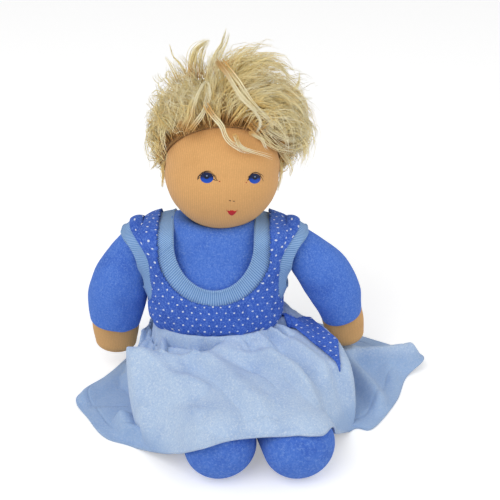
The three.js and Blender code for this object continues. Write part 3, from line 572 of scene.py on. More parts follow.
torsoSize = {
    "width": 112, "depth": 78, "height": 150, "bottomRound": 30, "topRound": 22,
    "shoulderRise": 21, "riseFrom": 118, "riseTo": 149, "neckReach": 25, "shoulderEdge": (38, 54),
    "lumpSize": 45, "lumps": 0.5,
}


def makeTorso():
    size = torsoSize
    form = {
        "centres": [(0, 0, size["bottomRound"]), (0, 0, size["height"] / 2),
                    (0, 0, size["height"] - size["topRound"])],
        "widths": [size["width"] * share for share in (1.0, 0.95, 1.0, 0.94)],
        "depths": [size["depth"] * share for share in (1.04, 1.0, 1.02, 0.86)],
        "startRound": size["bottomRound"],
        "endRound": size["topRound"],
        "capShares": (0.25, 0.75),
        "fullness": 2.3,
        "capPower": 2.4,
    }
    piece = addStuffed("torso", form, torsoMatrix, 72, 60)
    swell(piece, softNoise(readPoints(piece), size["lumpSize"] * mm, 3) * size["lumps"] * mm)
    # The shoulders rise on both sides of the neck, inside the dress
    local = moved(readPoints(piece), torsoMatrix.inverted()) / mm
    away = np.hypot(local[:, 0], local[:, 1] * 1.15)
    lift = ease(local[:, 2], size["riseFrom"], size["riseTo"])
    lift *= 1 - bell(away, size["neckReach"])
    lift *= 1 - ease(np.abs(local[:, 0]), *size["shoulderEdge"])
    local[:, 2] += size["shoulderRise"] * lift
    writePoints(piece, moved(local * mm, torsoMatrix))
    restOnFloor(piece)
    smoothSurface(piece, 1)
    finish(piece, velour, "torso", "velour", "torso_cover")


headSize = {
    "width": 99.5, "depth": 97, "height": 102, "forward": 11, "rise": 53, "crease": 1.0, "creaseWidth": 6,
    "cheek": 0.9, "cheekDrop": 20, "cheekWidth": 18, "lumpSize": 40, "lumps": 0.35,
}


def makeHead():
    size = headSize
    piece = addBall("head", 96, 72)
    unit = readPoints(piece)
    radii = np.array([size["width"], size["depth"], size["height"]]) / 2
    points = unit * radii
    flat = np.hypot(unit[:, 0], unit[:, 1])
    dent = size["crease"] * bell(points[:, 2], size["creaseWidth"])
    points[:, :2] -= unit[:, :2] / np.maximum(flat, 0.05)[:, None] * (dent * flat)[:, None]
    # Fuller cheeks below the tied eye line
    cheek = bell(points[:, 2] + size["cheekDrop"], size["cheekWidth"]) * ease(-unit[:, 1], 0.0, 0.8)
    points[:, :2] += unit[:, :2] * (cheek * size["cheek"])[:, None]
    points += [0, -size["forward"], size["rise"]]
    writePoints(piece, moved(points * mm, headMatrix))
    swell(piece, softNoise(readPoints(piece), size["lumpSize"] * mm, 5) * size["lumps"] * mm)
    smoothSurface(piece, 1)
    finish(piece, faceJersey, "head", "skin", "head_cover")
    return piece


# Arms hang from the shoulders in their own frames
armSize = {
    "length": 123, "width": 51, "depth": 46, "handLength": 36, "round": 12, "shoulder": 13,
    "out": {"right": 22, "left": 31}, "outShares": [0, 0.66, 0.98, 1.0],
    "sleeveWidths": {"right": (0.56, 0.82, 1.0, 1.04, 0.92), "left": (0.54, 0.77, 0.93, 0.91, 0.74)},
    "sleeveDepths": (0.66, 0.88, 0.99, 1.0, 0.92),
    "handWidths": {"right": (42.84, 43, 38), "left": (36.72, 38, 34)}, "handDepths": (34.04, 29, 25),
    "wristOverlap": 0.06, "lumpSize": 30, "lumps": 0.7,
}


sideSigns = {"right": -1, "left": 1}


def armMatrix(side):
    joint = joints[f"{side}_arm_lift"]
    lift = math.radians(posture[f"{side}Lift"])
    return Matrix.Translation(joint["pos_m"]) @ Matrix.Rotation(-sideSigns[side] * lift, 4, "Y")


def armCentre(side, share):
    outs = spline(armSize["outShares"], np.asarray([share]))[0]
    return (sideSigns[side] * armSize["out"][side] * outs, 0, -share * (armSize["length"] - armSize["round"]))


def makeArm(side):
    size = armSize
    sleeveEnd = (size["length"] - size["handLength"]) / (size["length"] - size["round"])
    form = {
        "centres": [armCentre(side, share * sleeveEnd) for share in (0, 0.25, 0.5, 0.75, 1)],
        "widths": [size["width"] * share for share in size["sleeveWidths"][side]],
        "depths": [size["depth"] * share for share in size["sleeveDepths"]],
        "startRound": size["shoulder"],
        "endRound": 5,
        "capShares": (0.2, 0.86),
        "capPower": 2.6,
    }
    sleeve = addStuffed(f"{side}Sleeve", form, armMatrix(side))
    swell(sleeve, softNoise(readPoints(sleeve), size["lumpSize"] * mm, 11 + sideSigns[side]) * size["lumps"] * mm)
    smoothSurface(sleeve, 1)
    finish(sleeve, velour, f"{side}_arm", "velour", f"{side}_sleeve", f"{side}_arm_stuffing")
    wrist = sleeveEnd - size["wristOverlap"]
    handForm = {
        "centres": [armCentre(side, wrist + share * (1 - wrist)) for share in (0, 0.5, 1)],
        "widths": size["handWidths"][side],
        "depths": size["handDepths"],
        "startRound": 1,
        "endRound": size["round"],
        "capShares": (0.12, 0.6),
    }
    hand = addStuffed(f"{side}Hand", handForm, armMatrix(side), 48, 36)
    smoothSurface(hand, 1)
    finish(hand, handJersey, f"{side}_arm", "skin", f"{side}_hand")


legSize = {
    "length": 151, "thigh": 27, "width": 60.2, "height": 58, "round": 26,
    "wideShares": (0.9, 0.88, 0.86, 0.95, 1.0), "highShares": (0.93, 0.92, 0.9, 0.95, 1.0),
}


legAngle = math.radians(posture["legTurn"])


def makeLeg(side):
    size = legSize
    form = {
        "centres": [(0, (size["round"] - size["length"]) * share, 0) for share in (0, 0.5, 1)],
        "widths": [size["width"] * share for share in size["wideShares"]],
        "depths": [size["height"] * share for share in size["highShares"]],
        "startRound": size["thigh"],
        "endRound": size["round"],
        "capShares": (0.22, 0.74),
    }
    hip = Matrix.Translation(joints[f"{side}_hip"]["pos_m"]) @ Matrix.Rotation(legAngle, 4, "Z")
    leg = addStuffed(f"{side}Leg", form, hip, 64, 56)
    restOnFloor(leg)
    smoothSurface(leg, 1)
    finish(leg, terry, f"{side}_leg", "velour", f"{side}_leg_cover")


addCamera()
makeTorso()
head = makeHead()
for side in ("right", "left"):
    makeArm(side)
    makeLeg(side)
print("stuffed pieces made")


# Skirt: one gathered tube of velour from the waist, over the lap and out over the floor, in millimetres
skirtPlan = {
    "cloth": 1.7,
    "hem": [
        (40, -160, 42), (72, -171, 51), (96, -166, 44), (114, -137, 24), (138, -98, 2), (163, -59, 1.5),
        (176, -24, 1.5), (194, -6, 11), (172, 21, 4), (143, 41, 2), (98, 66, 2), (48, 82, 1.5),
        (0, 83, 3), (-40, 73, 1.5), (-66, 46, 3), (-86, 8, 1.5), (-107, -30, 1.5), (-126, -57, 2),
        (-112, -84, 1.5), (-94, -110, 1.5), (-66, -124, 1.5), (-38, -136, 4), (-13, -170, 38), (12, -176, 47),
    ],
    # Pixels of the photograph for those of these hem points that lie over the feet
    "hemPixels": {
        21: (171, 454), 22: (200, 449), 23: (229, 440.5),
        0: (261, 437), 1: (297, 436), 2: (325, 435), 3: (351, 431),
    },
    "waistWidth": 110, "waistDepth": 81, "waistHeight": 64.5, "waistFullness": 2.1,
    "columns": 340, "rows": 100,
    "lapTop": [60, 63, 62.5, 61.5, 60.5, 59.5, 57, 50], "lapReach": 150,
    "leftEdge": [-56, -60, -65, -68, -69, -65, -57, -46, -38],
    "rightEdge": [76, 90, 100, 108, 113, 117, 119, 119, 114],
    "edgeFrom": 10, "edgeTo": -160,
    "leftHeight": [64, 63, 62, 61, 58, 53, 46, 34, 20],
    "rightHeight": [52, 55, 57, 58, 57, 54, 48, 40, 24],
    "drop": 9, "overhang": 6, "tuck": 9, "backRun": 47, "legClearance": 2.2, "hemFrom": 0.62,
    "ridge": [(-70, -70), (-56, -77), (-40, -79), (-8, -78), (6, -66), (18, -50), (30, -30)],
    "ridgeHeight": 67, "ridgeWidth": 11, "valley": 19, "foldStrength": 1.4, "lumpSize": 34, "lumps": 0.9,
    "gathers": 5.0, "gatherTurns": (21, 43), "waistSeam": 6, "overWidth": 5, "tuckAt": 9,
    "hemStitch": 0.865, "stitchDepth": 0.9, "stitchWidth": 0.008,
    "handSize": 18, "handGap": 2.5, "handSlope": 2.2, "footTent": 24, "floor": 1.2,
}
hipMiddle = np.array([0.0, joints["left_hip"]["pos_m"][1] / mm])
legWay = np.array([math.sin(legAngle), -math.cos(legAngle)])
legSide = np.array([math.cos(legAngle), math.sin(legAngle)])


def closedSpline(points, share):
    points = np.asarray(points, float)
    count = len(points)
    place = (share % 1.0) * count
    low = place.astype(int) % count
    t = (place - np.floor(place))[:, None]
    p0, p1, p2, p3 = (points[(low + k) % count] for k in (-1, 0, 1, 2))
    return 0.5 * (2 * p1 + (p2 - p0) * t + (2 * p0 - 5 * p1 + 4 * p2 - p3) * t**2
                  + (3 * p1 - p0 - 3 * p2 + p3) * t**3)


def waistPoints(turn):
    power = 2 / skirtPlan["waistFullness"]
    x = squared(np.sin(turn), power) * skirtPlan["waistWidth"] / 2
    y = -squared(np.cos(turn), power) * skirtPlan["waistDepth"] / 2
    return moved(np.stack([x, y, np.full_like(x, skirtPlan["waistHeight"])], 1) * mm, torsoMatrix) / mm


def nearPath(x, y, path):
    # Distance from a line of points, and the share of the way along it
    best = np.full(x.shape, 1e9)
    share = np.zeros(x.shape)
    count = len(path) - 1
    for i in range(count):
        a, b = np.array(path[i], float), np.array(path[i + 1], float)
        way = b - a
        t = np.clip(((x - a[0]) * way[0] + (y - a[1]) * way[1]) / (way @ way), 0, 1)
        away = np.hypot(x - a[0] - t * way[0], y - a[1] - t * way[1])
        share = np.where(away < best, (i + t) / count, share)
        best = np.minimum(best, away)
    return best, share


# Height, width and path of each fold, in millimetres seen from above
skirtFolds = [
    # Over the lap
    (9, 7, [(8, -62), (40, -72), (68, -99), (86, -134)]),
    (-8, 9, [(16, -74), (48, -94), (70, -120), (78, -140)]),
    (-6, 8, [(40, -46), (68, -74), (92, -104), (98, -120)]),
    (4, 9, [(-4, -82), (14, -106), (36, -134), (44, -158)]),
    (-5, 9, [(-20, -84), (0, -112), (14, -140)]),
    (4, 7, [(-62, -80), (-34, -104), (-6, -114)]),
    (-4, 7, [(-58, -98), (-34, -122), (-8, -134)]),
    (3.5, 6, [(52, -40), (84, -74), (106, -100)]),
    (-4, 6, [(92, -118), (100, -134), (104, -150)]),
    # Over the floor
    (13, 8, [(118, -6), (150, -4), (196, -6)]),
    (10, 8, [(122, -14), (138, -46), (148, -70)]),
    (4, 8, [(160, -20), (168, -40), (168, -50)]),
    (4, 10, [(-84, -10), (-100, -34), (-122, -56)]),
    (9, 5, [(-82, -92), (-76, -108), (-56, -118)]),
    (6, 10, [(40, 40), (56, 62), (66, 78)]),
    (6, 9, [(-10, 44), (-16, 62), (-20, 80)]),
    (5, 9, [(-56, 20), (-68, 32), (-78, 44)]),
    (6, 9, [(84, 24), (110, 36), (130, 48)]),
]


# The same for the rolls that the gathers throw up in front of the waist
waistRolls = [
    (15, 6, [(-47, -46), (-45, -77)]),
    (-6, 5, [(-33, -55), (-33, -77)]),
    (15, 6, [(-20, -55), (-17, -77)]),
    (-10, 5, [(-7, -62), (-5, -76)]),
    (8, 5, [(6, -58), (12, -66)]),
    (4, 4, [(22, -56), (30, -62)]),
]


def legTop(x, y, spare):
    # Height that the cloth must have to clear each leg, and to slope down beside each foot
    top = np.zeros(x.shape)
    straight = legSize["length"] - legSize["round"]
    for side in ("right", "left"):
        hip = np.array(joints[f"{side}_hip"]["pos_m"]) / mm
        forward = (x - hip[0]) * legWay[0] + (y - hip[1]) * legWay[1]
        aside = (x - hip[0]) * legSide[0] + (y - hip[1]) * legSide[1]
        share = np.clip(forward / straight, 0, 1)
        high = legSize["height"] / 2 * spline(legSize["highShares"], share) + spare
        wide = legSize["width"] / 2 * spline(legSize["wideShares"], share) + spare
        past = np.maximum(0, forward - straight) / (legSize["round"] + spare)
        room = 1 - (aside / wide) ** 2 - past**2
        beside = (np.sqrt(np.maximum(1 - room, 1)) - 1) * legSize["width"] / 2
        tent = hip[2] * (1 - ease(beside, 0, skirtPlan["footTent"])) ** 1.3 * ease(forward, 60, 110)
        dome = hip[2] + high * np.sqrt(np.maximum(room, 0))
        over = np.where((forward > -legSize["thigh"]) & (room > 0), dome, tent)
        top = np.maximum(top, over)
    return top


def handRoom(x, y):
    # Height that the cloth may have beside and under each hand
    plan = skirtPlan
    limit = np.full(x.shape, 1e3)
    for side in ("right", "left"):
        tip = moved(np.array([[armCentre(side, 1)[0], 0, -armSize["length"]]]) * mm, armMatrix(side))[0] / mm
        away = np.maximum(0, np.hypot(x - tip[0], y - tip[1]) - plan["handSize"])
        limit = np.minimum(limit, tip[2] - plan["handGap"] + away * plan["handSlope"])
    return limit


def clothHeight(x, y):
    # The lap's cloth, its edges at both sides, and how far each point lies outside them
    plan = skirtPlan
    forward = (x - hipMiddle[0]) * legWay[0] + (y - hipMiddle[1]) * legWay[1]
    place = np.clip((y - plan["edgeFrom"]) / (plan["edgeTo"] - plan["edgeFrom"]), 0, 1)
    left, right = spline(plan["leftEdge"], place), spline(plan["rightEdge"], place)
    leftTop, rightTop = spline(plan["leftHeight"], place), spline(plan["rightHeight"], place)
    lap = spline(plan["lapTop"], forward / plan["lapReach"])
    lap = lap + (np.minimum(leftTop, lap) - lap) * ease(-x, 10, -left)
    lap = lap + (np.minimum(rightTop, lap) - lap) * ease(x, 60, right)
    outside = np.where(x < 20, left - x, x - right)
    level = plan["floor"] + 2
    lap = level + (lap - level) * (1 - ease(outside, -plan["drop"] * 0.3, plan["drop"] * 0.7))
    lap = np.where(y > plan["edgeFrom"], level, lap)
    return lap, outside


def hemPlaces():
    # The hem's points; those over the feet lie where the photograph shows them, on what holds the cloth up
    nearest, farthest, step = 600, 1100, 0.5
    places = [np.array(point, float) for point in skirtPlan["hem"]]
    for index, (column, line) in skirtPlan["hemPixels"].items():
        start, way = pixelRay(column, line)
        steps = np.arange(nearest, farthest, step)
        ray = np.array(start)[None, :] / mm + np.array(way)[None, :] * steps[:, None]
        lap, outside = clothHeight(ray[:, 0], ray[:, 1])
        rest = np.maximum(legTop(ray[:, 0], ray[:, 1], skirtPlan["legClearance"]), skirtPlan["floor"])
        rest = np.maximum(rest, np.where(outside < -12, lap - 3, 0))
        places[index] = ray[np.argmax(ray[:, 2] <= rest)]
    return places


def skirtPoints(turn, share):
    plan = skirtPlan
    waist = waistPoints(turn)
    hem = closedSpline(hemPlaces(), turn / (2 * math.pi))
    flat = waist[:, :2] + (hem[:, :2] - waist[:, :2]) * share[:, None]
    x, y = flat[:, 0], flat[:, 1]
    run = np.hypot(x - waist[:, 0], y - waist[:, 1])
    slope = waist[:, 2] * (1 - ease(run, 0, plan["backRun"]))
    lap, outside = clothHeight(x, y)
    # Ridge where the cloth folds over in front of the waist, with a valley behind it
    away, along = nearPath(x, y, plan["ridge"])
    ridgeX, ridgeY = np.array(plan["ridge"]).T
    behind = (y > np.interp(x, ridgeX, ridgeY)) & (x < 30) & (y < 10)
    fade = 1 - ease(along, 0.72, 1.0)
    crest = (plan["ridgeHeight"] - lap) * bell(away, plan["ridgeWidth"]) * fade * ease(lap, 20, 45)
    dip = np.where(behind, plan["valley"] * ease(away, 1, 7), 0) * fade
    lap = lap + crest - dip
    lapShare = ease(lap, 14, 30)
    fromWaist = waist[:, 2] + (lap - waist[:, 2]) * ease(run, 0, plan["waistSeam"])
    height = np.maximum(slope, lap) * (1 - lapShare) + fromWaist * lapShare
    # Gathers at the waist, uneven as a hand draws them
    wide, narrow = plan["gatherTurns"]
    gathers = np.cos(turn * wide + 1.6 * np.sin(turn * 5 + 0.7)) + 0.35 * np.cos(turn * narrow + 2)
    gathers = squared(gathers, 0.8)
    clear = np.where(behind, ease(away, 0, plan["waistSeam"]), 0)
    clearOfRidge = clear + (1 - clear) * np.maximum(ease(x, 18, 34), ease(y, -20, 10))
    height += plan["gathers"] * gathers * ease(run, 0, 5) * (1 - ease(run, 9, 26)) * clearOfRidge
    for tall, width, path in waistRolls:
        near, _ = nearPath(x, y, path)
        height += tall * bell(near, width) * ease(run, 0, plan["waistSeam"]) * clearOfRidge
    height += softNoise(np.stack([x, y, 0 * x], 1), plan["lumpSize"], 21) * plan["lumps"] * ease(run, 5, 20)
    # The hem hangs at its own height
    height += (hem[:, 2] - height) * ease(share, plan["hemFrom"], 1.0) ** 1.6
    height -= plan["stitchDepth"] * bell(share - plan["hemStitch"], plan["stitchWidth"])
    for tall, width, path in skirtFolds:
        near, _ = nearPath(x, y, path)
        lift = plan["foldStrength"] * tall * bell(near, width)
        height += lift * ease(share, 0.12, 0.3) * (1 - ease(share, 0.9, 1.0))
    height = np.maximum(height, legTop(x, y, plan["legClearance"]) * ease(run, 0, 8))
    height = np.minimum(height, handRoom(x, y))
    height = np.maximum(height, plan["floor"])
    height = np.where(share > 0, height, waist[:, 2])
    # Both edges of the lap hang over the cloth below
    over = plan["overhang"] * bell(outside, plan["overWidth"])
    over -= plan["tuck"] * bell(outside - plan["tuckAt"], plan["overWidth"])
    over *= ease(-y, -5, 25) * (1 - ease(share, 0.86, 1.0)) * ease(share, 0.05, 0.2)
    x = x + np.where(x < 20, -over, over)
    return np.stack([x, y, height], 1)


def stepsAlong(path):
    return np.linalg.norm(np.diff(path, axis=0), axis=1)


def runAlong(path):
    # The way run from the path's start to each of its points
    return np.concatenate([[0], np.cumsum(stepsAlong(path))])


def makeSkirt():
    plan = skirtPlan
    piece = addGrid("skirtCloth", plan["columns"], plan["rows"])
    grid = readPoints(piece)
    share = grid[:, 1] ** 1.15
    points = skirtPoints(grid[:, 0] * 2 * math.pi, share)
    writePoints(piece, points * mm)
    # The UV map's first axis is the share of painted shade, one where the cloth lies low on the floor
    setUv(piece, np.stack([1 - ease(points[:, 2], 8, 32), share], 1))
    weld(piece, 0.05 * mm)
    thicken(piece, plan["cloth"] * mm, 0)
    finish(piece, skirtVelour, "lap", "skirt_velour", "skirt")
    return piece


skirt = makeSkirt()
print("skirt made")


# Bodice: a dotted velour shell over the torso, in millimetres in the torso's frame, pouched at the waist
bodiceSize = {
    "width": 120, "depth": 84, "top": 166, "topRound": 22, "waist": 56, "waistRound": 16,
    "shoulderWidth": 142, "neckWidth": 72, "neckBottom": 107, "neckBackBottom": 104, "neckRound": 42,
    "band": 15, "lift": 1.4, "cloth": 1.8, "ribDepth": 0.12,
    "pouch": 2.2, "pouchAt": 9, "pouchWidth": 11, "lumpSize": 34, "lumps": 0.8,
    "footHeight": 12, "footOpen": 0.86, "sideSeam": 0.15,
}
bodiceForm = {
    "centres": [
        (0, 0, bodiceSize["waist"] + bodiceSize["waistRound"]),
        (0, 0, 108),
        (0, 0, bodiceSize["top"] - bodiceSize["topRound"]),
    ],
    "widths": [bodiceSize["width"], bodiceSize["width"] * 1.01, bodiceSize["shoulderWidth"]],
    "depths": [bodiceSize["depth"], bodiceSize["depth"] * 1.02, bodiceSize["depth"]],
    "startRound": bodiceSize["waistRound"],
    "endRound": bodiceSize["topRound"],
    "capShares": (0.2, 0.72),
    "capPower": 2.5,
    "fullness": 2.3,
}


def deleteFaces(piece, unwanted):
    # Takes away the faces whose middle meets the test
    middles = np.zeros(len(piece.data.polygons) * 3)
    piece.data.polygons.foreach_get("center", middles)
    chosen = unwanted(middles.reshape(-1, 3))
    pick(piece)
    bpy.ops.object.mode_set(mode="EDIT")
    bpy.ops.mesh.select_all(action="DESELECT")
    bpy.ops.mesh.select_mode(type="FACE")
    bpy.ops.object.mode_set(mode="OBJECT")
    piece.data.polygons.foreach_set("select", chosen)
    bpy.ops.object.mode_set(mode="EDIT")
    bpy.ops.mesh.delete(type="FACE")
    bpy.ops.object.mode_set(mode="OBJECT")


def castOn(tree, start, way):
    place = tree.ray_cast(Vector(start), Vector(way).normalized())[0]
    return tuple(place) if place else tuple(start)


def neckGap(points, spare):
    # True inside the neck opening, which is a little lower behind than in front
    size = bodiceSize
    half = size["neckWidth"] / 2 + spare
    bottom = np.where(points[:, 1] < 0, size["neckBottom"], size["neckBackBottom"]) - spare
    middle = bottom + size["neckRound"]
    low = 1 - ((middle - points[:, 2]) / size["neckRound"]) ** 2
    allowed = np.where(points[:, 2] > middle, half, half * np.sqrt(np.maximum(low, 0)))
    return (np.abs(points[:, 0]) < allowed) & (points[:, 2] > bottom)


armBandSize = {
    "width": 13, "cap": 5, "middle": (-2, 125), "low": 40, "topAt": 62, "frontAt": 55, "footAt": 53,
    "flare": 72, "frontFlare": 66, "foot": 20, "velourCap": 9.5, "bodySide": 47, "sleeveRoom": 2.2,
}
# Angles all the way round the armhole, from its foot
armTurns = np.linspace(0, 2 * math.pi, 145) + math.pi


def armholeEdge(tree):
    # The armhole's sewn edge on the bodice, on the doll's left: radius round its middle, and places
    size = armBandSize
    middleY, middleZ = size["middle"]
    radii, places = [], []
    for angle in armTurns:
        up = math.cos(angle)
        at = size["frontAt"] + ((size["topAt"] if up > 0 else size["footAt"]) - size["frontAt"]) * up**2
        way = (0, math.sin(angle), up)
        hit = castOn(tree, (at, middleY, middleZ), way)
        full = math.hypot(hit[1] - middleY, hit[2] - middleZ) * 0.995
        # The smaller of the way to the bodice's outline and the lowest reach, with a soft change between
        radius = (full**-6 + size["low"] ** -6) ** (-1 / 6) if full > 5 else size["low"]
        y, z = middleY + radius * way[1], middleZ + radius * way[2]
        place = castOn(tree, (at - 12, y, z), (1, 0, 0))
        places.append((max(place[0], at - 1), y, z))
        radii.append(radius)
    return np.array(radii), np.array(places)


def inArmhole(points, radii):
    size = armBandSize
    y, z = points[:, 1] - size["middle"][0], points[:, 2] - size["middle"][1]
    angle = (np.arctan2(y, z) - math.pi) % (2 * math.pi)
    limit = np.interp(angle, armTurns - math.pi, radii)
    return (np.abs(points[:, 0]) > size["bodySide"]) & (np.hypot(y, z) < limit)


def makeBodice():
    size = bodiceSize
    shell = addBall("bodiceShell", 220, 190)
    points = stuffedPoints(readPoints(shell), bodiceForm)
    writePoints(shell, points)
    tree = rayTree(points, shell)
    radii, edge = armholeEdge(tree)
    turn = np.arctan2(points[:, 0], -points[:, 1])
    low = bell(points[:, 2] - size["waist"] - size["pouchAt"], size["pouchWidth"])
    folds = 0.9 * np.cos(turn * 15 + 1.3 * np.sin(turn * 4)) + 0.5 * np.cos(turn * 26 + 2)
    lumps = softNoise(points, size["lumpSize"], 31) * size["lumps"] + low * (size["pouch"] + folds)
    flat = unitRows(outward(shell))
    writePoints(shell, points + flat * lumps[:, None])
    # The UV map is laid round the body in millimetres, and carried on over the shoulders
    around = turn * size["width"] / 2 * 0.95
    inward = np.maximum(0, 1 - np.hypot(points[:, 0] / 71, points[:, 1] / 42))
    setUv(shell, np.stack([around, points[:, 2] + 60 * inward], 1))

    def unwanted(places, sign):
        # The other panel's half, the armholes, the neck opening and the closed foot of the shell
        foot = np.hypot(places[:, 0] / (size["width"] / 2), places[:, 1] / (size["depth"] / 2)) < size["footOpen"]
        return ((places[:, 1] * sign > 0) | inArmhole(places, radii) | neckGap(places, size["band"] * 0.8)
                | ((places[:, 2] < size["waist"] + size["footHeight"]) & foot))

    for side, sign in (("Front", 1), ("Back", -1)):
        pick(shell)
        bpy.ops.object.duplicate()
        piece = bpy.context.active_object
        piece.name = f"bodice{side}"
        deleteFaces(piece, lambda places: unwanted(places, sign))
        points = readPoints(piece)
        points[:, 1] -= sign * size["sideSeam"] * (np.abs(points[:, 1]) < 0.5)
        writePoints(piece, moved(points * mm, torsoMatrix))
        thicken(piece, size["cloth"] * mm, -1)
        finish(piece, dottedVelour, "torso", "dotted_velour", f"bodice_{side.lower()}")
    deselectAll()
    shell.select_set(True)
    bpy.ops.object.delete()
    return tree, edge


def onGrid(strip, u, v):
    # A linear reading of a grid of places at shares along and across
    stations, rows, _ = strip.shape
    a = np.clip(u, 0, 1) * (stations - 1)
    b = np.clip(v, 0, 1) * (rows - 1)
    i, j = np.minimum(a.astype(int), stations - 2), np.minimum(b.astype(int), rows - 2)
    s, t = (a - i)[:, None], (b - j)[:, None]
    return ((strip[i, j] * (1 - s) + strip[i + 1, j] * s) * (1 - t)
            + (strip[i, j + 1] * (1 - s) + strip[i + 1, j + 1] * s) * t)


def ribbedBand(name, strip, thickness, node):
    # A closed knitted band over a strip of places, its ribs across it and its two edges folded round
    size = bodiceSize
    middle = strip[:, strip.shape[1] // 2]
    length = runAlong(middle)
    even = np.linspace(0, length[-1], len(length))
    strip = np.stack([[np.interp(even, length, strip[:, row, axis]) for axis in range(3)]
                      for row in range(strip.shape[1])]).transpose(2, 0, 1)
    ribs = round(length[-1] / ribPitch)
    piece = addGrid(name, ribs * 5, 14)
    grid = readPoints(piece)
    u, v = grid[:, 0], grid[:, 1]
    points = onGrid(strip, u, v)
    step = 0.002
    along = onGrid(strip, u + step, v) - onGrid(strip, u - step, v)
    across = onGrid(strip, u, v + 0.05) - onGrid(strip, u, v - 0.05)
    normal = unitRows(np.cross(along, across))
    edge = np.abs(2 * v - 1)
    rib = np.cos(u * ribs * math.pi) ** 2
    height = rib * size["ribDepth"] * 2 * (1 - edge**8) - edge**6 * thickness * 0.3
    points += normal * (height + size["lift"])[:, None]
    points += normal * (softNoise(points, 26, 44) * 0.35)[:, None]
    writePoints(piece, moved(points * mm, torsoMatrix))
    setUv(piece, np.stack([u * ribs * ribPitch, v * size["band"]], 1))
    area = faceArea(piece)
    weld(piece, 0.05 * mm)
    thicken(piece, thickness * mm, -1)
    finish(piece, ribKnit, "torso", "ribbing", node)
    return piece, area


def makeNeckBinding(tree):
    # Round the neck opening: down the front, over the shoulders and round the back
    size = bodiceSize
    shares = np.linspace(-0.02, 1, 8)
    # Over the shoulders the rays turn round a line this far under the scoops' ends
    turnDrop = 15
    columns = []

    def scoop(angle, bottom, sign):
        column = []
        for share in shares:
            half = size["neckWidth"] / 2 + size["band"] * share
            middle = bottom + size["neckRound"] - size["band"] * share
            x, z = half * math.sin(angle), middle - size["neckRound"] * math.cos(angle)
            column.append(castOn(tree, (x, sign * 90, z), (0, -sign, 0)))
        return column

    def overShoulder(share, sign):
        column = []
        for wide in shares:
            x = sign * (size["neckWidth"] / 2 + size["band"] * wide)
            rise = turnDrop - size["band"] * wide
            front = math.atan2(rise, size["depth"] / 2 - 4)
            behind = math.pi - math.atan2(size["neckBackBottom"] - size["neckBottom"] + rise, size["depth"] / 2 - 4)
            angle = front + (behind - front) * share
            start = (x, 0, size["neckBottom"] + size["neckRound"] - turnDrop)
            column.append(castOn(tree, start, (0, -math.cos(angle), math.sin(angle))))
        return column

    for angle in np.linspace(-90, 90, 90):
        columns.append(scoop(math.radians(angle), size["neckBottom"], -1))
    for share in np.linspace(0, 1, 60)[1:-1]:
        columns.append(overShoulder(share, 1))
    for angle in np.linspace(90, -90, 90):
        columns.append(scoop(math.radians(angle), size["neckBackBottom"], 1))
    for share in np.linspace(1, 0, 60)[1:]:
        columns.append(overShoulder(share, -1))
    piece, area = ribbedBand("neckBinding", np.array(columns), 2.4, "neck_binding")


def makeArmBinding(side, edge):
    size = armBandSize
    sleeve = bpy.data.objects["leftSleeve"]
    sleeveTree = rayTree(moved(readPoints(sleeve), torsoMatrix.inverted()) / mm, sleeve)

    def clear(place, up):
        # Moves a place out of the sleeve, away from the armhole's middle
        middle = np.array([place[0], *size["middle"]])
        way = place - middle
        reach = np.linalg.norm(way)
        way = way / reach
        hit = np.array(castOn(sleeveTree, middle + way * 70, -way))
        push = np.linalg.norm(hit - middle) + size["sleeveRoom"] - reach
        if push > 60 - reach:
            return place
        return place + way * np.clip(push, 0, 10) * ease(np.array(up), -0.4, 0.1)

    def strip(first, last, lift, rows):
        # Rows of places from the sewn edge out over the sleeve; up is 1 at the armhole's top
        places = []
        for angle, root in zip(armTurns, edge):
            up, away = math.cos(angle), math.sin(angle) ** 2
            high = max(0.0, up) ** 2
            topFlare = size["frontFlare"] + (size["flare"] - size["frontFlare"]) * up
            footFlare = size["foot"] + (size["frontFlare"] - size["foot"]) * away
            flare = math.radians(topFlare if up > 0 else footFlare)
            out = np.array([0.0, math.sin(angle), up])
            across = -out * math.cos(flare) + np.array([math.sin(flare), 0, 0])
            thick = out * math.sin(flare) + np.array([math.cos(flare), 0, 0])
            start, end = first(high), last(high)
            row = [root + across * (start + (end - start) * share) for share in np.linspace(0, 1, rows)]
            places.append([clear(place, up) + thick * lift for place in row])
        points = np.array(places) * [sideSigns[side], 1, 1]
        return points if side == "left" else points[:, ::-1]

    band = strip(lambda high: size["velourCap"] * high - 1, lambda high: size["width"] + size["cap"] * high, 2.0, 6)
    piece, area = ribbedBand(f"{side}ArmBinding", band, 2.2, f"{side}_armhole_binding")
    cap = strip(lambda high: -2.0, lambda high: size["velourCap"] * high + 0.3, 1.2, 8)
    cap = cap[np.cos(armTurns) > 0.0]
    piece = addGrid(f"{side}BodiceCap", 70, 12)
    grid = readPoints(piece)
    writePoints(piece, moved(onGrid(cap, grid[:, 0], grid[:, 1]) * mm, torsoMatrix))
    setUv(piece, np.stack([grid[:, 0] * 76, grid[:, 1] * 12 + 40], 1))
    area = faceArea(piece)
    editWhole(piece, faceOutward)
    thicken(piece, 1.6 * mm, 0)
    finish(piece, dottedVelour, "torso", "dotted_velour", f"{side}_armhole_binding")


bodiceTree, armEdge = makeBodice()
makeNeckBinding(bodiceTree)
for side in ("right", "left"):
    makeArmBinding(side, armEdge)
print("bodice and bindings made")


# Pocket: a dotted patch over the lap's edge, open along its lower left side
pocketPlan = {"corners": [(56, -17), (86, -8), (108, -84), (108, -50)], "lift": 1.7, "cloth": 1.5, "hem": 3.2}


def surfaceTree(piece):
    return rayTree([piece.matrix_world @ v.co for v in piece.data.vertices], piece)


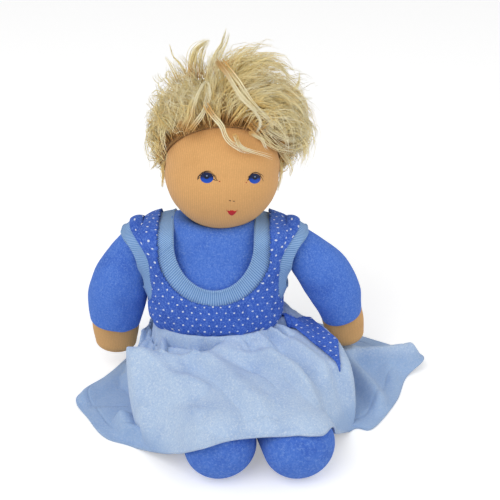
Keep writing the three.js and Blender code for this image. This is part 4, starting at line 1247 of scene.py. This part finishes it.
def addStitches(name, path, normals):
    # Short stitches in a row along a path over cloth, each dipping in at both ends
    pitch, length, radius = 2.4 * mm, 1.5 * mm, 0.22 * mm
    run = runAlong(path)
    count = int(run[-1] / pitch)
    starts = (np.arange(count) + 0.25) * run[-1] / count
    share = np.linspace(0, 1, 5)
    where = starts[:, None] + share[None, :] * length
    places = np.stack([np.interp(where, run, path[:, axis]) for axis in range(3)], -1)
    lift = np.stack([np.interp(where, run, normals[:, axis]) for axis in range(3)], -1)
    places += lift * (np.sin(share * math.pi)[None, :, None] * radius * 1.5 - radius * 0.5)
    finish(addStrands(name, places, radius, np.full(count, 0.5)), blueThread, "lap", "blue_thread")


def makePocket():
    plan = pocketPlan
    tree = surfaceTree(skirt)
    piece = addGrid("pocketPatch", 70, 70)
    grid = readPoints(piece)
    a, b, c, d = (np.array(corner, float) for corner in plan["corners"])
    u, v = grid[:, :1], grid[:, 1:2]
    flat = a * (1 - u) * (1 - v) + b * u * (1 - v) + c * (1 - u) * v + d * u * v
    points, lifts = [], []
    for x, y in flat * mm:
        place, normal, _, _ = tree.ray_cast(Vector((x, y, 0.2)), Vector((0, 0, -1)))
        points.append(tuple(place))
        lifts.append(tuple(normal))
    points, lifts = np.array(points), unitRows(np.array(lifts) + [0, 0, 0.4])
    across = u[:, 0] * np.linalg.norm(b - a)
    hem = 1 - ease(across, plan["hem"] - 0.8, plan["hem"] + 0.2)
    edge = np.minimum(1, across / 0.8)
    points += lifts * ((plan["lift"] + hem * edge) * mm)[:, None]
    writePoints(piece, points)
    setUv(piece, np.stack([flat[:, 0] + 20, flat[:, 1]], 1))
    thicken(piece, plan["cloth"] * mm, 0)
    finish(piece, dottedVelour, "lap", "dotted_velour", "pocket")
    # Stitches just past the hem, along the grid line that lies there
    row = np.argsort(grid[:, 1])
    line = row[np.abs(across[row] - plan["hem"] - 0.4) < 0.35]
    addStitches("pocketStitches", points[line] + lifts[line] * mm, lifts[line])


# Wig: a close cap with mohair strands that stand up from it, part above the forehead and fall to both sides
hairSize = {
    "rise": 13.5, "slope": 41.0, "centre": (3, -2, 93), "radii": (61, 60, 65),
    "cap": 2.4, "tufts": 680, "strands": 9, "steps": 9, "thickness": 0.36, "parting": -9,
    "length": 48, "topLength": 34, "uneven": 7, "taper": 0.82,
    # How tufts are scattered, part, stand up at their roots, wander, sag and stop at the hair's rim
    "rootScatter": 0.03, "partSway": 4, "partWidth": 5, "riseWidth": 17, "frizz": 0.36,
    "upward": 0.5, "rootTurn": 0.2, "wander": 0.12, "sag": 0.25, "rim": (0.84, 0.24), "rimSoft": 0.18,
}
# Spreads in millimetres of the strands in one tuft
tuftFan = {"rootSpread": 2.6, "middleSpread": 3.6, "tipSpread": 1.3, "wave": 2.2}
lockWave = 0.9
# Ways that the hair lies in the head's frame, x to the doll's left, z up
hairWays = {
    "left": (1.0, -0.18, -0.12), "right": (-0.95, -0.3, 0.1), "back": (0.15, 0.8, -0.5),
    "frontLeft": (0.1, -0.35, -0.35), "frontRight": (0.1, -0.4, -0.2), "parting": (0.15, -0.35, 1.5),
}
hairWays = {name: np.array(way) for name, way in hairWays.items()}
headMiddle = np.array([0.0, -headSize["forward"], headSize["rise"]])
headRadii = np.array([headSize["width"], headSize["depth"], headSize["height"]]) / 2
hairMiddle = np.array(hairSize["centre"], float)
hairRadii = np.array(hairSize["radii"], float)
hairSlope = math.radians(hairSize["slope"])


def hairMaterial():
    # Along each strand from brown roots to pale tips, each strand with its own tone
    material, tree, shader = newMaterial("mohair", linear(222, 202, 150), 0.5, 0.25, linear(250, 240, 210))
    shader.inputs["Specular IOR Level"].default_value = 0.35
    along, tone = uvAxes(tree)
    root = mixColor(tree, rangeNode(tree, tone, 0.1, 0.9), linear(206, 152, 80), linear(228, 182, 108))
    middle = mixColor(tree, rangeNode(tree, tone, 0.0, 0.55), linear(250, 216, 134), linear(255, 240, 184))
    middle = mixColor(tree, rangeNode(tree, tone, 0.6, 1.0), middle, linear(254, 244, 208))
    tip = mixColor(tree, rangeNode(tree, tone, 0.1, 0.9), linear(252, 234, 176), linear(255, 250, 224))
    color = mixColor(tree, rangeNode(tree, along, 0.06, 0.32), root, middle)
    color = mixColor(tree, rangeNode(tree, along, 0.6, 1.0), color, tip)
    setTone(tree, shader, color)
    return material


mohair = hairMaterial()


def hairSide(points):
    # Distance of points in the head's frame past the hairline's slope
    lift = points - headMiddle - [0, 0, hairSize["rise"]]
    return lift[:, 1] * math.sin(hairSlope) + lift[:, 2] * math.cos(hairSlope)


def makeCap():
    # A crocheted cap that the strands are knotted into
    piece = addBall("wigCap", 72, 54)
    points = readPoints(piece) * (headRadii + hairSize["cap"]) + headMiddle
    writePoints(piece, points)
    edge = headMiddle + [0, 0, hairSize["rise"] - 1.5]
    way = (0, math.sin(hairSlope), math.cos(hairSlope))
    editWhole(piece, lambda: bpy.ops.mesh.bisect(plane_co=edge, plane_no=way, clear_inner=True))
    writePoints(piece, moved(readPoints(piece) * mm, headMatrix))
    thicken(piece, 1.6 * mm, -1)
    finish(piece, scalp, "head", "wig", "wig_cap")


def parted(left, leftWay, rightWay):
    # The lie on both sides of the parting, by the share that falls to the left
    return left[:, None] * hairWays[leftWay] + (1 - left)[:, None] * hairWays[rightWay]


def growGuides(draw):
    # Middle lines of the tufts in the head's frame, from the cap out along the hair's lie;
    # twice as many roots as tufts are laid over the head, and those in front of the hairline are left out
    size = hairSize
    count = size["tufts"] * 2
    turn = np.arange(count) * math.pi * (3 - math.sqrt(5))
    high = 1 - 2 * (np.arange(count) + 0.5) / count
    flat = np.sqrt(1 - high**2)
    way = np.stack([flat * np.cos(turn), flat * np.sin(turn), high], 1)
    way = unitRows(way + draw.normal(size=way.shape) * size["rootScatter"])
    roots = way * (headRadii + size["cap"]) + headMiddle
    kept = hairSide(roots) > -1
    roots, way = roots[kept], way[kept]
    rise = hairSide(roots)
    fromParting = roots[:, 0] - size["parting"]
    sway = draw.normal(size=len(roots)) * size["partSway"]
    left = ease(fromParting + sway, -size["partWidth"], size["partWidth"])
    back = ease(roots[:, 1], 8, 34)
    front = ease(-roots[:, 1], 22, 46)
    lie = parted(left, "left", "right")
    lie = lie * (1 - 0.6 * back)[:, None] + back[:, None] * hairWays["back"]
    lie += front[:, None] * parted(left, "frontLeft", "frontRight")
    near = bell(fromParting - 4, size["riseWidth"]) * (1 - back)
    lie += near[:, None] * hairWays["parting"]
    lie = unitRows(lie + draw.normal(size=lie.shape) * size["frizz"])
    length = size["length"] + size["topLength"] * ease(rise, 4, 42) + draw.normal(size=len(roots)) * size["uneven"]
    # Shorter on the doll's right, and low down beside the cheeks
    length *= 1 - 0.42 * (1 - left) * (1 - back) * 0.8
    length *= 1 - 0.5 * ease(-roots[:, 2], -74, -38) * (1 - 0.2 * back)
    rimLow, rimSpan = size["rim"]
    limit = rimLow + rimSpan * draw.random(len(roots))
    point = roots.copy()
    direction = unitRows(way + [0, 0, size["upward"]] + draw.normal(size=way.shape) * size["rootTurn"])
    guides = [point.copy()]
    for step in range(size["steps"]):
        share = (step + 1) / size["steps"]
        aim = way * (1 - ease(share, 0.0, 0.6)) + lie * ease(share, 0.05, 0.7)
        aim = aim - np.array([0, 0, size["sag"]]) * share**2
        place = (point - hairMiddle) / hairRadii
        reach = np.linalg.norm(place, axis=1)
        out = unitRows(place / hairRadii)
        over = ease(reach, limit - size["rimSoft"], limit)
        push = np.maximum(0, np.sum(aim * out, axis=1)) * over
        aim = aim - out * push[:, None]
        wander = draw.normal(size=aim.shape) * size["wander"]
        direction = unitRows(direction * 0.5 + unitRows(aim) * 0.55 + wander)
        point = point + direction * (length / size["steps"])[:, None]
        inside = (point - headMiddle) / (headRadii + 3)
        depth = np.maximum(1, 1 / np.maximum(np.linalg.norm(inside, axis=1), 1e-6))
        point = headMiddle + (point - headMiddle) * depth[:, None]
        guides.append(point.copy())
    return np.stack(guides, 1)


def fanStrands(draw, guides, strands, rootSpread, middleSpread, tipSpread, wave):
    # Strands round each guide: loose at the root and the middle, drawn together at the tip
    count, places, _ = guides.shape
    share = np.linspace(0, 1, places)
    spread = np.interp(share, [0, 0.5, 1], [rootSpread, middleSpread, tipSpread])
    along = unitRows(np.gradient(guides, axis=1))
    side = unitRows(np.cross(along, unitRows(draw.normal(size=(count, 1, 3)))))
    over = np.cross(along, side)
    loose = draw.uniform(0.5, 1.6, size=(count, 1, 1, 1))
    shift = draw.normal(size=(count, strands, 1, 2)) * spread[None, None, :, None] * loose
    phase = draw.uniform(0, 6.3, size=(count, 1, 1)) + draw.normal(size=(count, strands, 1)) * 0.5
    pitch = draw.uniform(1.2, 2.6, size=(count, 1, 1))
    sway = np.sin(phase + share[None, None, :] * 2 * math.pi * pitch) * wave * share[None, None, :] ** 0.7
    sway *= draw.uniform(0.3, 1.3, size=(count, strands, 1))
    length = draw.uniform(0.82, 1.0, size=(count, strands, 1))
    place = share[None, None, :] * length * (places - 1)
    low = np.minimum(place.astype(int), places - 2)
    blend = (place - low)[..., None]
    rows = np.arange(count)[:, None, None]
    middle = guides[rows, low] * (1 - blend) + guides[rows, low + 1] * blend
    points = middle + side[:, None] * (shift[..., :1] + sway[..., None]) + over[:, None] * shift[..., 1:]
    return points.reshape(-1, places, 3)


def addStrands(name, paths, thickness, tones):
    # Three-sided tapered strands in one mesh; UV holds the share along the strand and its tone
    count, places, _ = paths.shape
    share = np.linspace(0, 1, places)
    radius = thickness * (1 - hairSize["taper"] * share**1.6)
    along = unitRows(np.gradient(paths, axis=1))
    side = unitRows(np.cross(along, np.array([0.31, 0.87, 0.38])))
    over = np.cross(along, side)
    angles = [corner * 2 * math.pi / 3 for corner in range(3)]
    rings = [paths + (side * math.cos(a) + over * math.sin(a)) * radius[None, :, None] for a in angles]
    points = np.stack(rings, 2).reshape(-1, 3)
    start = (np.arange(count) * places * 3)[:, None, None]
    row = (np.arange(places - 1) * 3)[None, :, None]
    corner = np.arange(3)[None, None, :]
    nearby = (corner + 1) % 3
    quads = np.stack(np.broadcast_arrays(start + row + corner, start + row + nearby,
                                         start + row + 3 + nearby, start + row + 3 + corner), -1).reshape(-1, 4)
    first = np.arange(count)[:, None] * places * 3 + np.array([0, 2, 1])
    last = np.arange(count)[:, None] * places * 3 + (places - 1) * 3 + np.array([0, 1, 2])
    mesh = bpy.data.meshes.new(name)
    mesh.from_pydata(points.tolist(), [], quads.tolist() + first.tolist() + last.tolist())
    piece = bpy.data.objects.new(name, mesh)
    bpy.context.collection.objects.link(piece)
    shares = np.broadcast_to(share[None, :, None], (count, places, 3)).reshape(-1)
    tone = np.broadcast_to(np.asarray(tones)[:, None, None], (count, places, 3)).reshape(-1)
    setUv(piece, np.stack([shares, tone], 1))
    mesh.shade_smooth()
    return piece


# Locks that the photograph shows: strands, spread, spread at the tip, tone and how far in front each lies,
# then the pixels that its middle line passes in the photograph
lockTraits = ("strands", "spread", "tip", "tone", "front")
shownLocks = [
    ((30, 2.4, 0.3, 0.75, 0.1), [(207, 78), (213, 60), (221, 44), (227, 28)]),
    ((14, 2.0, 0.5, 0.85, 0.1), [(214, 74), (220, 58), (226, 44), (229, 32)]),
    ((34, 2.8, 1.0, 0.6, 0.1), [(192, 80), (193, 62), (196, 50), (203, 43), (210, 40)]),
    ((18, 2.0, 0.8, 0.7, 0.1), [(200, 78), (200, 62), (203, 50), (209, 42)]),
    ((12, 1.6, 0.2, 0.5, 0.1), [(190, 82), (181, 66), (173, 56), (169, 44)]),
    ((7, 1.2, 0.4, 0.55, 0.1), [(180, 82), (174, 70), (169, 62), (165, 56)]),
    ((5, 0.8, 0.3, 0.5, 0.2), [(180, 90), (171, 84), (166, 77), (168, 71), (172, 73)]),
    ((10, 2.6, 2.0, 0.85, 0.2), [(176, 104), (164, 94), (156, 91), (151, 95)]),
    ((8, 2.6, 2.0, 0.85, 0.1), [(174, 96), (163, 84), (157, 78), (155, 72)]),
    ((16, 2.4, 0.6, 0.4, 0.5), [(174, 122), (162, 118), (153, 124), (149, 131), (152, 136), (157, 133)]),
    ((9, 1.8, 0.6, 0.35, 0.5), [(172, 132), (164, 130), (158, 138), (163, 143)]),
    ((16, 1.6, 0.3, 0.45, 0.2), [(171, 142), (166, 152), (158, 161), (150, 170)]),
    ((18, 1.6, 0.4, 0.3, -0.1), [(168, 150), (163, 166), (163, 178), (162, 188)]),
    ((15, 1.6, 0.9, 1.0, 1.0), [(188, 126), (193, 108), (199, 92), (206, 82), (210, 86), (210, 96)]),
    ((12, 1.5, 0.7, 1.0, 1.0), [(191, 130), (200, 118), (208, 104), (210, 92), (207, 85)]),
    ((14, 2.4, 1.2, 0.25, 1.0), [(184, 132), (190, 116), (193, 102), (199, 90)]),
    ((10, 1.6, 0.8, 0.9, 0.9), [(180, 128), (184, 112), (181, 100), (172, 92)]),
    ((18, 1.5, 0.9, 1.0, 1.03), [(217, 61), (229, 76), (242, 98), (255, 111), (261, 122), (256, 133)]),
    ((14, 2.0, 0.9, 0.9, 1.03), [(222, 62), (238, 82), (250, 102), (266, 118), (280, 128)]),
    ((15, 1.1, 1.1, 1.0, 1.0), [(205, 105), (213, 117), (222, 126), (225, 137), (233, 146),
     (243, 150), (257, 153)]),
    ((6, 0.9, 1.0, 0.9, 1.0), [(236, 136), (240, 146), (253, 152), (265, 155), (273, 158)]),
    ((6, 1.0, 1.2, 0.9, 1.0), [(234, 134), (238, 144), (241, 152)]),
    ((9, 1.2, 1.0, 0.85, 1.0), [(250, 132), (262, 140), (268, 150)]),
    ((18, 2.4, 0.4, 0.8, 0.6), [(236, 84), (262, 94), (288, 98), (313, 97)]),
    ((18, 2.4, 0.5, 0.7, 0.6), [(246, 100), (270, 108), (290, 108), (308, 103)]),
    ((10, 2.0, 0.3, 0.8, 0.5), [(262, 112), (285, 121), (299, 119), (308, 112)]),
    ((20, 2.6, 0.6, 0.9, 0.7), [(246, 116), (268, 130), (290, 140), (311, 134)]),
    ((18, 2.4, 0.9, 0.75, 0.7), [(250, 122), (268, 140), (286, 150), (300, 149)]),
    ((20, 2.0, 1.0, 0.7, 0.1), [(222, 66), (240, 60), (261, 60), (279, 66), (288, 76), (287, 84)]),
    ((4, 0.8, 0.3, 0.6, 0.0), [(256, 66), (264, 62), (266, 54)]),
    ((10, 1.6, 0.3, 0.7, 0.1), [(280, 96), (294, 90), (299, 81), (300, 71)]),
    ((14, 1.8, 0.6, 0.7, 0.2), [(274, 140), (284, 154), (291, 168), (289, 178)]),
    ((14, 1.5, 0.5, 0.5, -0.1), [(274, 150), (281, 166), (280, 180), (278, 192)]),
]


def lockPath(line, front):
    # Each pixel goes to the hair's rounded front or, low down, to just off the face
    middle = headMatrix @ Vector(hairMiddle * mm)
    radius = float(hairRadii.mean()) * mm
    faceMiddle = headMatrix @ Vector(headMiddle * mm)
    faceRadius = float(headRadii.mean()) * mm + 1.5 * mm
    places = []
    for x, y in line:
        start, way = pixelRay(x, y)
        reach = (middle - start).dot(way)
        aside = (start + way * reach - middle).length
        depth = reach - math.sqrt(max(0.0, radius**2 - aside**2)) * front * 0.97
        faceReach = (faceMiddle - start).dot(way)
        faceAside = (start + way * faceReach - faceMiddle).length
        if faceAside < faceRadius and front > 0.4:
            depth = min(depth, faceReach - math.sqrt(faceRadius**2 - faceAside**2))
        places.append(start + way * depth)
    points = np.array([tuple(place) for place in places])
    return spline(points, np.linspace(0, 1, 12)) / mm


def makeHair():
    draw = np.random.default_rng(12)
    guides = growGuides(draw)
    strands = hairSize["strands"]
    paths = fanStrands(draw, guides, strands, **tuftFan)
    tones = np.repeat(draw.random(len(guides)), strands) * 0.7 + draw.random(len(paths)) * 0.3
    paths = moved(paths.reshape(-1, 3) * mm, headMatrix).reshape(paths.shape)
    half = len(paths) // 2
    for name, part in (("hairLeft", slice(0, half)), ("hairRight", slice(half, None))):
        piece = addStrands(name, paths[part], hairSize["thickness"] * mm, tones[part])
        finish(piece, mohair, "head", "mohair", "hair")
    loose, tones = [], []
    for traits, line in shownLocks:
        lock = dict(zip(lockTraits, traits))
        path = lockPath(line, lock["front"])[None]
        spread = lock["spread"]
        loose.append(fanStrands(draw, path, lock["strands"], spread, spread * 0.75, lock["tip"], lockWave))
        tones.append(np.clip(lock["tone"] + draw.normal(size=lock["strands"]) * 0.12, 0, 1))
    loose = np.concatenate(loose)
    finish(addStrands("hairLocks", loose * mm, hairSize["thickness"] * mm, np.concatenate(tones)),
           mohair, "head", "mohair", "hair")
    print("strands", len(paths) + len(loose))


makeCap()
makeHair()
print("hair made")


makePocket()
print("pocket made")


# Face: coloured threads sewn flat into the jersey, at the photograph's places
eyePlan = [
    {"name": "rightEye", "middle": (206.8, 177.6), "wide": 6.6, "high": 5.6, "turn": 4},
    {"name": "leftEye", "middle": (254.7, 178.4), "wide": 5.9, "high": 5.2, "turn": -6},
]


def eyeMaterial():
    # Satin stitch in two blues, darker above, each thread a fine line; the UV map runs over the iris
    material, tree, shader = newMaterial("eyeThread", linear(28, 74, 178), 0.35, 0.1)
    uv = uvPlace(tree)
    x, y = uvAxes(tree, uv)
    threads = addNode(tree, "ShaderNodeTexWave", Scale=3.2, Distortion=0.8)
    tree.links.new(uv, threads.inputs["Vector"])
    tone = mixColor(tree, rangeNode(tree, y, 0.25, -0.35), linear(14, 26, 66), linear(24, 78, 190))
    tone = mixColor(tree, rangeNode(tree, y, -0.35, -0.9, 0, 0.5), tone, linear(40, 100, 215))
    pupil = distanceTo(tree, x, y, 0.0, 0.12)
    tone = mixColor(tree, rangeNode(tree, pupil, 0.46, 0.3), tone, linear(10, 14, 34))
    tone = mixColor(tree, rangeNode(tree, threads.outputs["Fac"], 0.2, 0.9, 0.22, 0.0), tone, linear(8, 16, 48))
    glint = distanceTo(tree, x, y, 0.02, 0.34)
    tone = mixColor(tree, rangeNode(tree, glint, 0.17, 0.08, 0, 0.75), tone, linear(150, 170, 205))
    setTone(tree, shader, tone)
    addBump(tree, shader, threads.outputs["Fac"], 0.1 * mm, 0.7)
    return material


eyeThread = eyeMaterial()
lashThread = plainMaterial("lashThread", linear(38, 26, 34), 0.6, 0.4 * mm, 0.1 * mm)
redThread = plainMaterial("redThread", linear(206, 34, 40), 0.5, 0.5 * mm, 0.15 * mm)
brownThread = plainMaterial("brownThread", linear(84, 44, 26), 0.6, 0.4 * mm, 0.1 * mm)


def onFace(tree, x, y, lift):
    start, way = pixelRay(x, y)
    place, normal, _, _ = tree.ray_cast(start, way)
    return tuple(place + normal * lift)


def facePatch(tree, name, outline, rise, material):
    # A filled shape: rings from its middle out to the outline, all on the face, a little raised
    outline = np.asarray(outline, float)
    middle = outline.mean(axis=0)
    piece = addGrid(name, len(outline), 10)
    grid = readPoints(piece)
    around = np.concatenate([outline, outline[:1]])
    edge = onGrid(np.stack([around, around], 1), grid[:, 0], grid[:, 1])
    pixels = middle + (edge - middle) * grid[:, 1:2]
    dome = rise * (1 - grid[:, 1] ** 4)
    places = [onFace(tree, x, y, 0.06 * mm + d) for (x, y), d in zip(pixels, dome)]
    writePoints(piece, np.array(places))
    reach = np.abs(outline - middle).max(axis=0)
    setUv(piece, (pixels - middle) / reach * [1, -1])
    weld(piece, 0.01 * mm)
    thicken(piece, 0.25 * mm, -1)
    finish(piece, material, "head", "thread")


def faceLines(tree, name, lines, radius, material):
    # Fine threads along pixel lines, thin at both ends
    paths = []
    for line in lines:
        pixels = spline(np.asarray(line, float), np.linspace(0, 1, 12))
        paths.append([onFace(tree, x, y, radius * 0.5) for x, y in pixels])
    piece = addStrands(name, np.array(paths), radius, np.full(len(paths), 0.5))
    finish(piece, material, "head", "thread")


# Threads by their pixels in the photograph; an outline is filled, a line is a single thread
faceThreads = [
    {"name": "rightLashes", "radius": 0.34, "material": lashThread, "lines": [
        [(197.8, 178.6), (200.2, 174.6), (204.4, 172.0), (209.2, 171.8), (213.2, 175.0), (216.2, 179.6)],
        [(198.4, 176.6), (201.2, 173.4), (205.4, 171.2), (209.8, 171.2), (213.8, 174.2)],
        [(199.6, 177.6), (198.2, 178.8), (196.8, 180.0)],
        [(201.0, 175.4), (199.0, 175.8), (197.4, 177.4)],
        [(213.4, 175.4), (215.6, 178.0), (217.6, 181.0)],
        [(212.4, 174.4), (214.8, 175.4), (216.8, 178.0)],
        [(213.2, 179.0), (215.6, 180.2), (218.0, 180.2)],
    ]},
    {"name": "leftLashes", "radius": 0.32, "material": lashThread, "lines": [
        [(248.2, 180.4), (249.6, 176.4), (252.6, 173.2), (256.6, 172.6), (260.2, 175.2), (262.4, 179.4)],
        [(248.6, 178.0), (251.0, 174.2), (254.6, 172.2), (258.4, 172.8), (261.0, 175.4)],
        [(249.4, 177.8), (248.0, 179.4), (247.4, 180.8)],
        [(250.6, 175.4), (248.8, 176.2), (247.8, 177.6)],
        [(260.2, 175.6), (262.0, 178.4), (263.2, 181.4)],
        [(259.0, 173.6), (261.6, 174.6), (263.6, 177.2)],
    ]},
    {"name": "tearDots", "radius": 0.5, "material": redThread, "lines": [
        [(219.2, 181.0), (219.8, 181.4), (220.4, 181.4)],
        [(245.8, 182.6), (246.2, 182.4), (246.7, 182.2)],
    ]},
    {"name": "nostrils", "radius": 0.5, "material": brownThread, "lines": [
        [(229.5, 200.1), (230.3, 200.6), (231.0, 200.6)],
        [(233.3, 201.0), (234.0, 201.1), (234.7, 200.9)],
    ]},
    {"name": "mouth", "rise": 0.4, "material": redThread, "outline": [
        (227.3, 211.0), (228.6, 210.6), (229.8, 211.0), (230.8, 209.9), (231.8, 210.6), (232.9, 210.0),
        (234.0, 211.1), (235.2, 210.8), (236.5, 211.2), (235.6, 213.0), (234.2, 214.6), (232.6, 215.6),
        (231.2, 215.6), (229.6, 214.8), (228.4, 213.2),
    ]},
    {"name": "mouthCorners", "radius": 0.4, "material": redThread, "lines": [
        [(228.6, 212.0), (227.2, 210.8), (226.6, 209.6)],
        [(235.0, 212.0), (236.6, 210.8), (237.4, 209.8)],
    ]},
]


def makeFace():
    tree = surfaceTree(head)
    for eye in eyePlan:
        turn = math.radians(eye["turn"])
        angle = np.arange(40) / 40 * 2 * math.pi
        x = np.cos(angle) * eye["wide"]
        y = np.sin(angle) * eye["high"] * np.where(np.sin(angle) < 0, 0.96, 1.0)
        outline = np.stack([x * math.cos(turn) - y * math.sin(turn), x * math.sin(turn) + y * math.cos(turn)], 1)
        facePatch(tree, eye["name"], outline + eye["middle"], 0.25 * mm, eyeThread)
    for sewn in faceThreads:
        if "outline" in sewn:
            facePatch(tree, sewn["name"], sewn["outline"], sewn["rise"] * mm, sewn["material"])
        else:
            faceLines(tree, sewn["name"], sewn["lines"], sewn["radius"] * mm, sewn["material"])


makeFace()
print("face made")


# Light and floor
def seenRay(tree):
    # One for rays by which the ground is seen, none for those by which it only lights the doll
    path = addNode(tree, "ShaderNodeLightPath")
    seen = calculate(tree, "MAXIMUM", path.outputs["Is Camera Ray"], path.outputs["Is Glossy Ray"])
    return calculate(tree, "MAXIMUM", seen, path.outputs["Is Transmission Ray"])


def addStage():
    floorGlow, roomLight = 0.34, 0.55
    deselectAll()
    bpy.ops.mesh.primitive_plane_add(size=12, location=(0, 0, 0))
    floor = bpy.context.active_object
    floor.name = "floor"
    material, tree, shader = newMaterial("paleFloor", (0.9, 0.9, 0.9), 0.9)
    shader.inputs["Emission Color"].default_value = (1, 1, 1, 1)
    glow = calculate(tree, "MULTIPLY", seenRay(tree), floorGlow)
    tree.links.new(glow, shader.inputs["Emission Strength"])
    floor.data.materials.append(material)
    world = bpy.data.worlds.new("studio")
    bpy.context.scene.world = world
    world.use_nodes = True
    tree = world.node_tree
    background = tree.nodes["Background"]
    strength = rangeNode(tree, seenRay(tree), 0.0, 1.0, roomLight, 1.0)
    background.inputs["Color"].default_value = (1, 1, 1, 1)
    tree.links.new(strength, background.inputs["Strength"])
    lamps = [
        {"name": "keyLamp", "place": (-0.7, -0.9, 1.5), "size": 1.4, "power": 14},
        {"name": "fillLamp", "place": (1.2, -0.6, 0.9), "size": 1.4, "power": 5},
    ]
    for lamp in lamps:
        bpy.ops.object.light_add(type="AREA", location=lamp["place"])
        light = bpy.context.active_object
        light.name = lamp["name"]
        light.data.size = lamp["size"]
        light.data.energy = lamp["power"]
        aim = Vector((0, 0, 0.15)) - light.location
        light.rotation_euler = aim.to_track_quat("-Z", "Y").to_euler()
    bpy.context.scene.view_settings.view_transform = "Standard"


addStage()

# Looks of the CAD nodes inside the doll
nodeLooks = {
    wool: ("torso_stuffing", "head_core", "right_arm_stuffing", "left_arm_stuffing",
           "right_leg_stuffing", "left_leg_stuffing"),
    thread: ("neck_thread", "eye_line_thread"),
    blueThread: ("right_shoulder_thread", "left_shoulder_thread"),
}
for material, nodeNames in nodeLooks.items():
    for nodeName in nodeNames:
        node = frame["nodes"][nodeName]
        node.data.materials.clear()
        node.data.materials.append(material)
